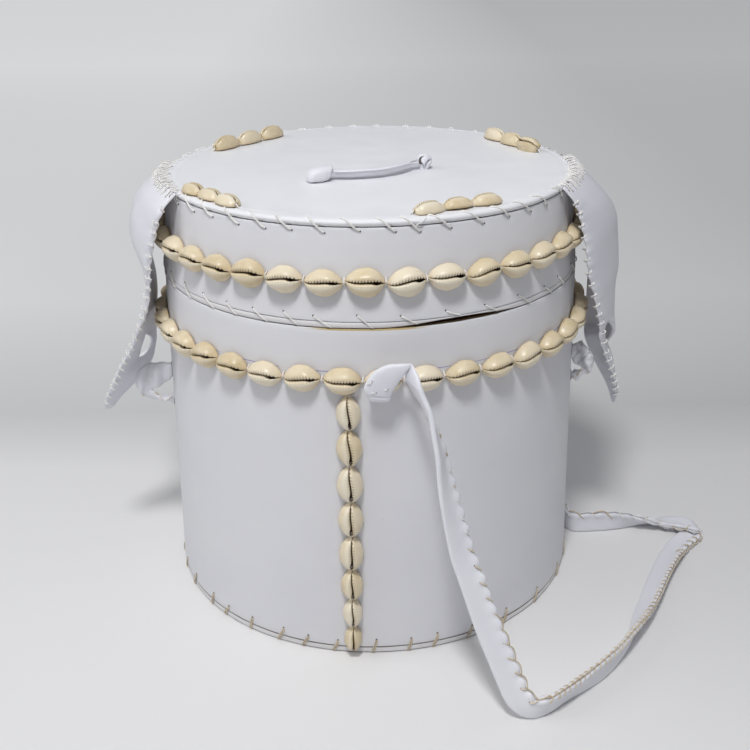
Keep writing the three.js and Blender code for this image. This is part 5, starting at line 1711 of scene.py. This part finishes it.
class Flap:
    """The middle surface of a flap, over shares across it and along it from 0 to 1."""

    def __init__(self, which):
        self.which, self.side = which, SIDES[which]
        rows = np.array(FLAP_ROWS[which], float) * [self.side, 1, 1]
        self.guides = [through(rows[:, i], FLAP_PARTS) for i in range(3)]
        self.steps = np.linspace(0, 1, len(self.guides[0]))
        self.turn_out = 1.0
        self.turn_out = float(np.sign(self.out(0.5, 0.5)[0] * self.side))
        self.front = lengths(self.guides[0])
        rng = np.random.default_rng(31 if which == "left" else 32)
        places, at = [], 9.0
        while at < self.front[-1] - 3:
            places.append(at)
            at += FLAP_STITCH * rng.uniform(0.82, 1.18)
        self.stitches = np.array(places)

    def place(self, across, along):
        """The place on the middle surface, which tucks in under the lid's edge at its top."""
        across, along = np.broadcast_arrays(np.asarray(across, float), np.asarray(along, float))
        a = across[..., None]
        front, belly, rear = [
            np.stack([np.interp(along, self.steps, guide[:, i]) for i in range(3)], -1)
            for guide in self.guides
        ]
        tuck = (np.clip(1 - along / 0.05, 0, 1) ** 2)[..., None]
        spot = front * 2 * (a - 0.5) * (a - 1) + belly * 4 * a * (1 - a) + rear * 2 * a * (a - 0.5)
        return spot - unit(spot * [1, 1, 0]) * tuck * 1.3 + UP * tuck * 0.6

    def sideways(self, across, along, d):
        """From a share d before the place to a share d after it, across the flap."""
        before, after = np.maximum(np.subtract(across, d), 0), np.minimum(np.add(across, d), 1)
        return self.place(after, along) - self.place(before, along)

    def out(self, across, along):
        """The direction that the surface faces, away from the wall."""
        before, after = np.maximum(np.subtract(along, 0.008), 0), np.minimum(np.add(along, 0.008), 1)
        down = self.place(across, after) - self.place(across, before)
        return unit(np.cross(self.sideways(across, along, 0.008), down)) * self.turn_out

    def spot(self, across, along, out=0.0):
        """The place so far out from the middle surface."""
        return self.place(across, along) + self.out(across, along) * np.asarray(out)[..., None]

    def width(self, along):
        """How wide the flap is at a share of its length."""
        shares = np.linspace(0, 1, 13)
        rows = self.place(shares[None], np.atleast_1d(along)[:, None])
        return np.linalg.norm(np.diff(rows, axis=1), axis=2).sum(1)


# %% Two faces and an edge
EDGE_BULGE = 0.6


def doubled(points, normals, faces, half):
    """Points and faces of a closed skin round a sheet: both its faces and a rounded edge."""
    faces = np.asarray(faces)
    used = np.unique(faces)
    new_index = np.zeros(len(points), int)
    new_index[used] = np.arange(len(used))
    half = np.broadcast_to(half, len(points))[used]
    points, normals, faces = points[used], normals[used], new_index[faces]
    count = len(points)
    total = np.zeros_like(points)
    np.add.at(total, faces.ravel(), np.repeat(points[faces].mean(1), 4, axis=0))
    away = points - total / np.bincount(faces.ravel(), minlength=count)[:, None]
    away -= normals * (away * normals).sum(1)[:, None]
    edge = points + unit(away) * (half * EDGE_BULGE)[:, None]
    sides = {(a, b) for face in faces.tolist() for a, b in zip(face, face[1:] + face[:1])}
    open_sides = sorted(side for side in sides if side[::-1] not in sides)
    rim = {point: 2 * count + i for i, point in enumerate(sorted({a for a, _ in open_sides}))}
    skin = faces.tolist() + (faces[:, ::-1] + count).tolist()
    for a, b in open_sides:
        skin += [[b, a, rim[a], rim[b]], [rim[b], rim[a], a + count, b + count]]
    lifted = normals * half[:, None]
    return np.vstack([points + lifted, points - lifted, edge[list(rim)]]), skin


# %% The two flaps
# Where the middle of the buttonhole is, half its length, how far it gapes to either side, and how
# far its front lip sinks in and its rear lip stands out.
SLITS = {
    "left": {"along": 0.71, "across": 0.56, "reach": 0.056,
             "front": 0.8, "rear": 11, "sink": 0.5, "rise": -3},
    "right": {"along": 0.645, "across": 0.17, "reach": 0.056,
              "front": 3.2, "rear": 6, "sink": 2.5, "rise": 1.5},
}
# Where the belly of the right flap is pressed in, below its buttonhole.
DENT_ALONG, DENT_LENGTH, DENT_DEPTH = 0.70, 0.034, 4.2


def flap_skin(flap):
    """The flap's skin: two blocks that part at the buttonhole, a drawn-in hem and soft folds."""
    rows, half = len(flap.steps), 18
    along = flap.steps[:, None]
    width = flap.width(flap.steps)[:, None]
    slit = SLITS[flap.which]
    gape = np.clip(1 - ((along - slit["along"]) / slit["reach"]) ** 2, 0, 1) ** 0.8
    middle = slit["across"] + np.clip(along - slit["along"], -slit["reach"], slit["reach"])
    spread = np.sin(np.linspace(0, np.pi / 2, half)[None]) * 0.3 + np.linspace(0, 1, half)[None] * 0.7
    front_half = (middle - slit["front"] * gape / width) * (1 - spread[:, ::-1])
    start = middle + slit["rear"] * gape / width
    rear_half = start + (1 - start) * spread
    across = np.concatenate([front_half, rear_half], 1)
    index = np.arange(rows * 2 * half).reshape(rows, 2 * half)
    shut = gape[:, 0] <= 0
    index[shut, half] = index[shut, half - 1]
    faces = np.concatenate([
        np.stack([block[:-1, :-1], block[:-1, 1:], block[1:, 1:], block[1:, :-1]], -1).reshape(-1, 4)
        for block in (index[:, :half], index[:, half:])
    ])
    points = flap.place(across, along)
    normals = flap.out(across, along)
    from_front = across * width
    from_rear = (1 - across) * width
    swell, _ = between_stitches(np.interp(along, flap.steps, flap.front), flap.stitches)
    hem = np.exp(-(from_front / 4.2) ** 2)
    thickness = FLAP_HALF_THICKNESS + hem * (0.5 * swell - 0.35)
    thickness *= 1 - 0.4 * np.exp(-(from_front / 0.8) ** 2) - 0.4 * np.exp(-(from_rear / 0.8) ** 2)
    free = np.clip(along / 0.15, 0, 1)
    soft = (waves(points, 55, 101) * 0.9 + waves(points, 20, 102) * 0.28) * free
    if flap.which == "right":
        dent = np.exp(-((along - DENT_ALONG) / DENT_LENGTH) ** 2)
        soft -= DENT_DEPTH * dent * np.clip(across / 0.22, 0, 1)
    before = np.arange(2 * half) < half
    away = np.where(before, across[:, half - 1:half] - across, across - start) * width
    soft += gape * np.where(before, -slit["sink"], slit["rise"]) * np.exp(-(away / 7) ** 2)
    sideways = unit(flap.sideways(across, along, 0.05))
    points = points + normals * soft[..., None] + sideways * ((1 - swell) * hem * 0.9)[..., None]
    return doubled(points.reshape(-1, 3), normals.reshape(-1, 3), faces, thickness.ravel())


WHIP_THREAD, WHIP_HOLE = 0.46, 0.42
LACE_THREAD, LOOSE_THREAD, LACE_HOLE = 0.42, 0.36, 0.45


def flap_stitching(flap):
    """Whip stitches over the front edge, each from a hole in one face to a hole in the other."""
    clay = Clay()
    rng = np.random.default_rng(41)
    step = 1 / flap.front[-1]
    face = FLAP_HALF_THICKNESS + 0.1
    for at in flap.stitches:
        along = float(np.interp(at, flap.front, flap.steps))
        width = float(flap.width(along)[0])
        inset = min(rng.uniform(1.3, 2.0), width * 0.35) / width
        halfway, down = along + 1.7 * step, along + 3.4 * step
        rim = flap.place(0.0, halfway)
        edge = flap.spot(0.0, halfway) - unit(flap.place(0.1, halfway) - rim) * 0.3
        path = [
            flap.spot(inset, along, face - 0.9), flap.spot(inset * 0.85, along + 0.2 * step, face + 0.35),
            flap.spot(inset * 0.3, along + 1.0 * step, face + 0.3), edge,
            flap.spot(inset * 0.3, along + 2.3 * step, -face - 0.3),
            flap.spot(inset * 0.85, down, -face - 0.35), flap.spot(inset, down, 0.9 - face),
        ]
        thread(clay, path, WHIP_THREAD)
        for spot_along, sign in ((along, 1), (down, -1)):
            spot = flap.spot(inset * 1.05, spot_along, sign * (FLAP_HALF_THICKNESS + 0.02))
            hole(clay, spot, flap.out(inset, spot_along) * sign, WHIP_HOLE, 1)
    return clay


def flap_lacing(flap):
    """Dense strands from the lid's top leather, over its edge, to the top of the flap."""
    clay = Clay()
    rng = np.random.default_rng(43)
    half, top = FLAP_HALF_THICKNESS, LID_TOP_HEIGHT
    for across in np.linspace(0.02, 0.98, 22):
        across = across + rng.uniform(-0.015, 0.015)
        foot = flap.spot(across, rng.uniform(0.018, 0.032), half)
        out = flap.out(across, 0.07)
        mid = flap.spot(across, 0.012, half + 0.45)
        turn = math.atan2(mid[1], mid[0]) + rng.uniform(-0.02, 0.02)
        radii = np.array([120.9 + rng.uniform(-0.6, 0.6), 121.5, 122.4])
        lid = round_box(radii, turn, np.array([top - 0.4, top + 0.6, top + 0.8]))
        crest = flap.spot(across, 0.0, half) + UP
        thread(clay, [*lid, crest, mid, foot + out * 0.3, foot - out * 0.8], LACE_THREAD)
        if rng.random() < 0.35:
            other = flap.spot(across + 0.03, 0.02 + rng.uniform(0, 0.012), half + 0.1)
            path = [
                lid[0], lid[1] + UP * 0.2, lid[2] + UP * 0.2, flap.spot(across + 0.02, 0.01, half + 0.6),
                other + out * 0.3, other - out * 0.7,
            ]
            thread(clay, path, LOOSE_THREAD)
        hole(clay, foot + out * 0.02, out, LACE_HOLE, 1)
    return clay


def bend_from_lid(piece, flap):
    """Bakes the piece's placement into its mesh."""
    top = flap.place(0.5, 0.0)
    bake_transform(piece)


for which in SIDES:
    flap = Flap(which)
    skin = Clay().add(*flap_skin(flap))
    tongue = make(which + "_tongue", skin, [soft_leather], None, [which + "_flap"])
    hem = make(which + "_tongue_stitches", flap_stitching(flap), [white_thread, hole_shade], None)
    lacing = make(which + "_tongue_lacing", flap_lacing(flap), [white_thread, hole_shade], None)
    for piece in (tongue, hem, lacing):
        bend_from_lid(piece, flap)

# %% [markdown]
# ## Inside the box
# A brown collar stands above the rim and guides the lid. It is one strip bent round, so it has
# a seam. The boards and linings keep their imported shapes, and only their finish changes.

# %% Collar and inner finishes
COLLAR_FOOT, COLLAR_TOP, COLLAR_THICKNESS = 176.0, 220.5, 2.5
COLLAR_SEAM, COLLAR_RADIUS = -68.5, 121


def collar_outline():
    """Outline of the collar, upright inside the body and leaning in above its rim."""
    inset = LEATHER + BOARD + LINING + 3 * GAP
    shoulder = BODY_RIM_HEIGHT - 2
    top = float(wall_radius(COLLAR_TOP)) - inset - 0.45
    low = float(wall_radius(shoulder)) - inset
    foot = float(wall_radius(COLLAR_FOOT)) - inset
    rows = [[foot, COLLAR_FOOT], [low, shoulder]]
    rise, lean = COLLAR_TOP - shoulder, top - low
    rows += [[low + lean * s, shoulder + rise * s] for s in (0.2, 0.4, 0.6, 0.8, 0.93)]
    rows += [[top - 0.35, COLLAR_TOP - 0.2], [top - 1.2, COLLAR_TOP], [top - 2.1, COLLAR_TOP - 0.2]]
    rows += [[top - COLLAR_THICKNESS, COLLAR_TOP - 1.0], [low - COLLAR_THICKNESS, shoulder],
             [foot - COLLAR_THICKNESS, COLLAR_FOOT]]
    return rows


def collar_unevenness(azimuths, heights):
    """A shallow groove at the collar's seam, and a little softness."""
    away = np.radians(degrees_from(COLLAR_SEAM, azimuths)) * COLLAR_RADIUS
    seam = -0.55 * np.exp(-((away / 0.7) ** 2)) + 0 * heights
    return seam + waves(on_wall(azimuths, heights), 30, 111) * 0.08


turned("collar", collar_outline(), collar_leather, "container", ["inner_collar"], collar_unevenness)

for names, finish in (
    (("base_board", "body_wall_core", "lid_top_board", "lid_wall_core"), raw_board),
    (("base_lining", "body_lining", "lid_top_lining", "lid_wall_lining"), lining_cloth),
):
    for name in names:
        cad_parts[name].material_slots[0].material = finish
print("boards and linings finished")

# %% [markdown]
# ## Floor and light
# The box stands on a pale sheet, painted a little brighter in front and to the left as painted
# light. A small lamp above the front shades the wall and throws the shadows, a large one at the
# left softens them, and a pale sky fills the rest.

# %% Floor
FLOOR_HALF = 12.0


def grey(level):
    """A colour without a tint."""
    return (level, level, level)


def floor_finish():
    """The near sheet, the darker fold behind it and the pale backdrop, which fades up with depth: painted
    light and shade, with a glow only the camera sees.
    """
    material, tree, shader, place = new_finish("floor_sheet", roughness=0.9, specular=0.1)
    x, y, _ = coordinates(tree, place)
    side = ranged(tree, x, -0.45, 0.55, 0.0, 1.0)
    # Painted shade: the sheet darkens to the right, away from the light at the left.
    near = ramp(tree, side, (0.0, (0.845, 0.84, 0.84)), (1.0, (0.765, 0.76, 0.76)))
    far = ramp(tree, side, (0.0, (0.80, 0.80, 0.795)), (1.0, grey(0.68)))
    # Painted shade: behind the box the sheet is darker, as a backdrop in less light, and lighter again
    # further back.
    depth = ranged(tree, y, 0.16, 0.5, 0.0, 1.0)
    far = mixed(tree, far, ramp(tree, depth, (0.0, grey(0.87)), (1.0, grey(1.0))), 1.0, "MULTIPLY")
    color = mixed(tree, near, far, ranged(tree, y, 0.10, 0.20, 0.0, 1.0))
    tree.links.new(color, shader.inputs["Base Color"])
    # Painted light: a glow that only the camera sees brightens the sheet far from the box, more at the
    # left.
    away = joined(
        tree, "ADD", ranged(tree, y, 0.0, 4.0, 0.0, 1.0), ranged(tree, y, -0.7, -4.7, 0.0, 1.0))
    glow = ramp(
        tree, away, (0.05, grey(0.0)), (0.12, grey(0.12)), (0.3, grey(0.25)), (0.6, grey(0.39)))
    glow = mixed(tree, glow, ramp(tree, side, (0.0, grey(1.0)), (1.0, grey(0.55))), 1.0, "MULTIPLY")
    tree.links.new(glow, shader.inputs["Emission Color"])
    camera_only = tree.nodes.new("ShaderNodeLightPath").outputs["Is Camera Ray"]
    tree.links.new(camera_only, shader.inputs["Emission Strength"])
    relief(tree, shader, (noise(tree, place, 500, 4), 0.05, 0.1))
    return material


floor_mesh = bpy.data.meshes.new("floor")
floor_corners = [(x * FLOOR_HALF, y * FLOOR_HALF, 0) for x, y in ((-1, -1), (1, -1), (1, 1), (-1, 1))]
floor_mesh.from_pydata(floor_corners, [], [(0, 1, 2, 3)])
floor_mesh.materials.append(floor_finish())
floor = bpy.data.objects.new("floor", floor_mesh)
scene.collection.objects.link(floor)

# %% Light
def lamp(name, place, aim, size, power):
    """A round white lamp, with its diameter in metres and its power in watts."""
    data = bpy.data.lights.new(name, "AREA")
    data.shape = "DISK"
    data.size = size
    data.energy = power
    light = bpy.data.objects.new(name, data)
    light.location = place
    light.rotation_mode = "QUATERNION"
    light.rotation_quaternion = (Vector(aim) - Vector(place)).to_track_quat("-Z", "Y")
    scene.collection.objects.link(light)


lamp("main_lamp", (-0.1, -0.72, 1.35), (0.0, 0.0, 0.15), 0.25, 10.4)
lamp("left_lamp", (-1.6, -0.2, 1.2), (0.0, 0.0, 0.1), 1.2, 6.8)
SKY_LOW, SKY_HIGH, SKY_SHOWN = 0.11, 0.45, 0.55

world = bpy.data.worlds.new("pale_sky")
world.use_nodes = True
sky_tree = world.node_tree
sky = sky_tree.nodes["Background"]
sky.inputs["Color"].default_value = (0.93, 0.95, 1.0, 1)
upward = coordinates(sky_tree, sky_tree.nodes.new("ShaderNodeTexCoord").outputs["Generated"])["Z"]
seen = sky_tree.nodes.new("ShaderNodeMix")
seen.inputs[3].default_value = SKY_SHOWN
sky_tree.links.new(sky_tree.nodes.new("ShaderNodeLightPath").outputs["Is Camera Ray"], seen.inputs[0])
sky_tree.links.new(ranged(sky_tree, upward, 0.0, 1.0, SKY_LOW, SKY_HIGH), seen.inputs[2])
sky_tree.links.new(seen.outputs[0], sky.inputs["Strength"])
scene.world = world
scene.view_settings.view_transform = "Standard"
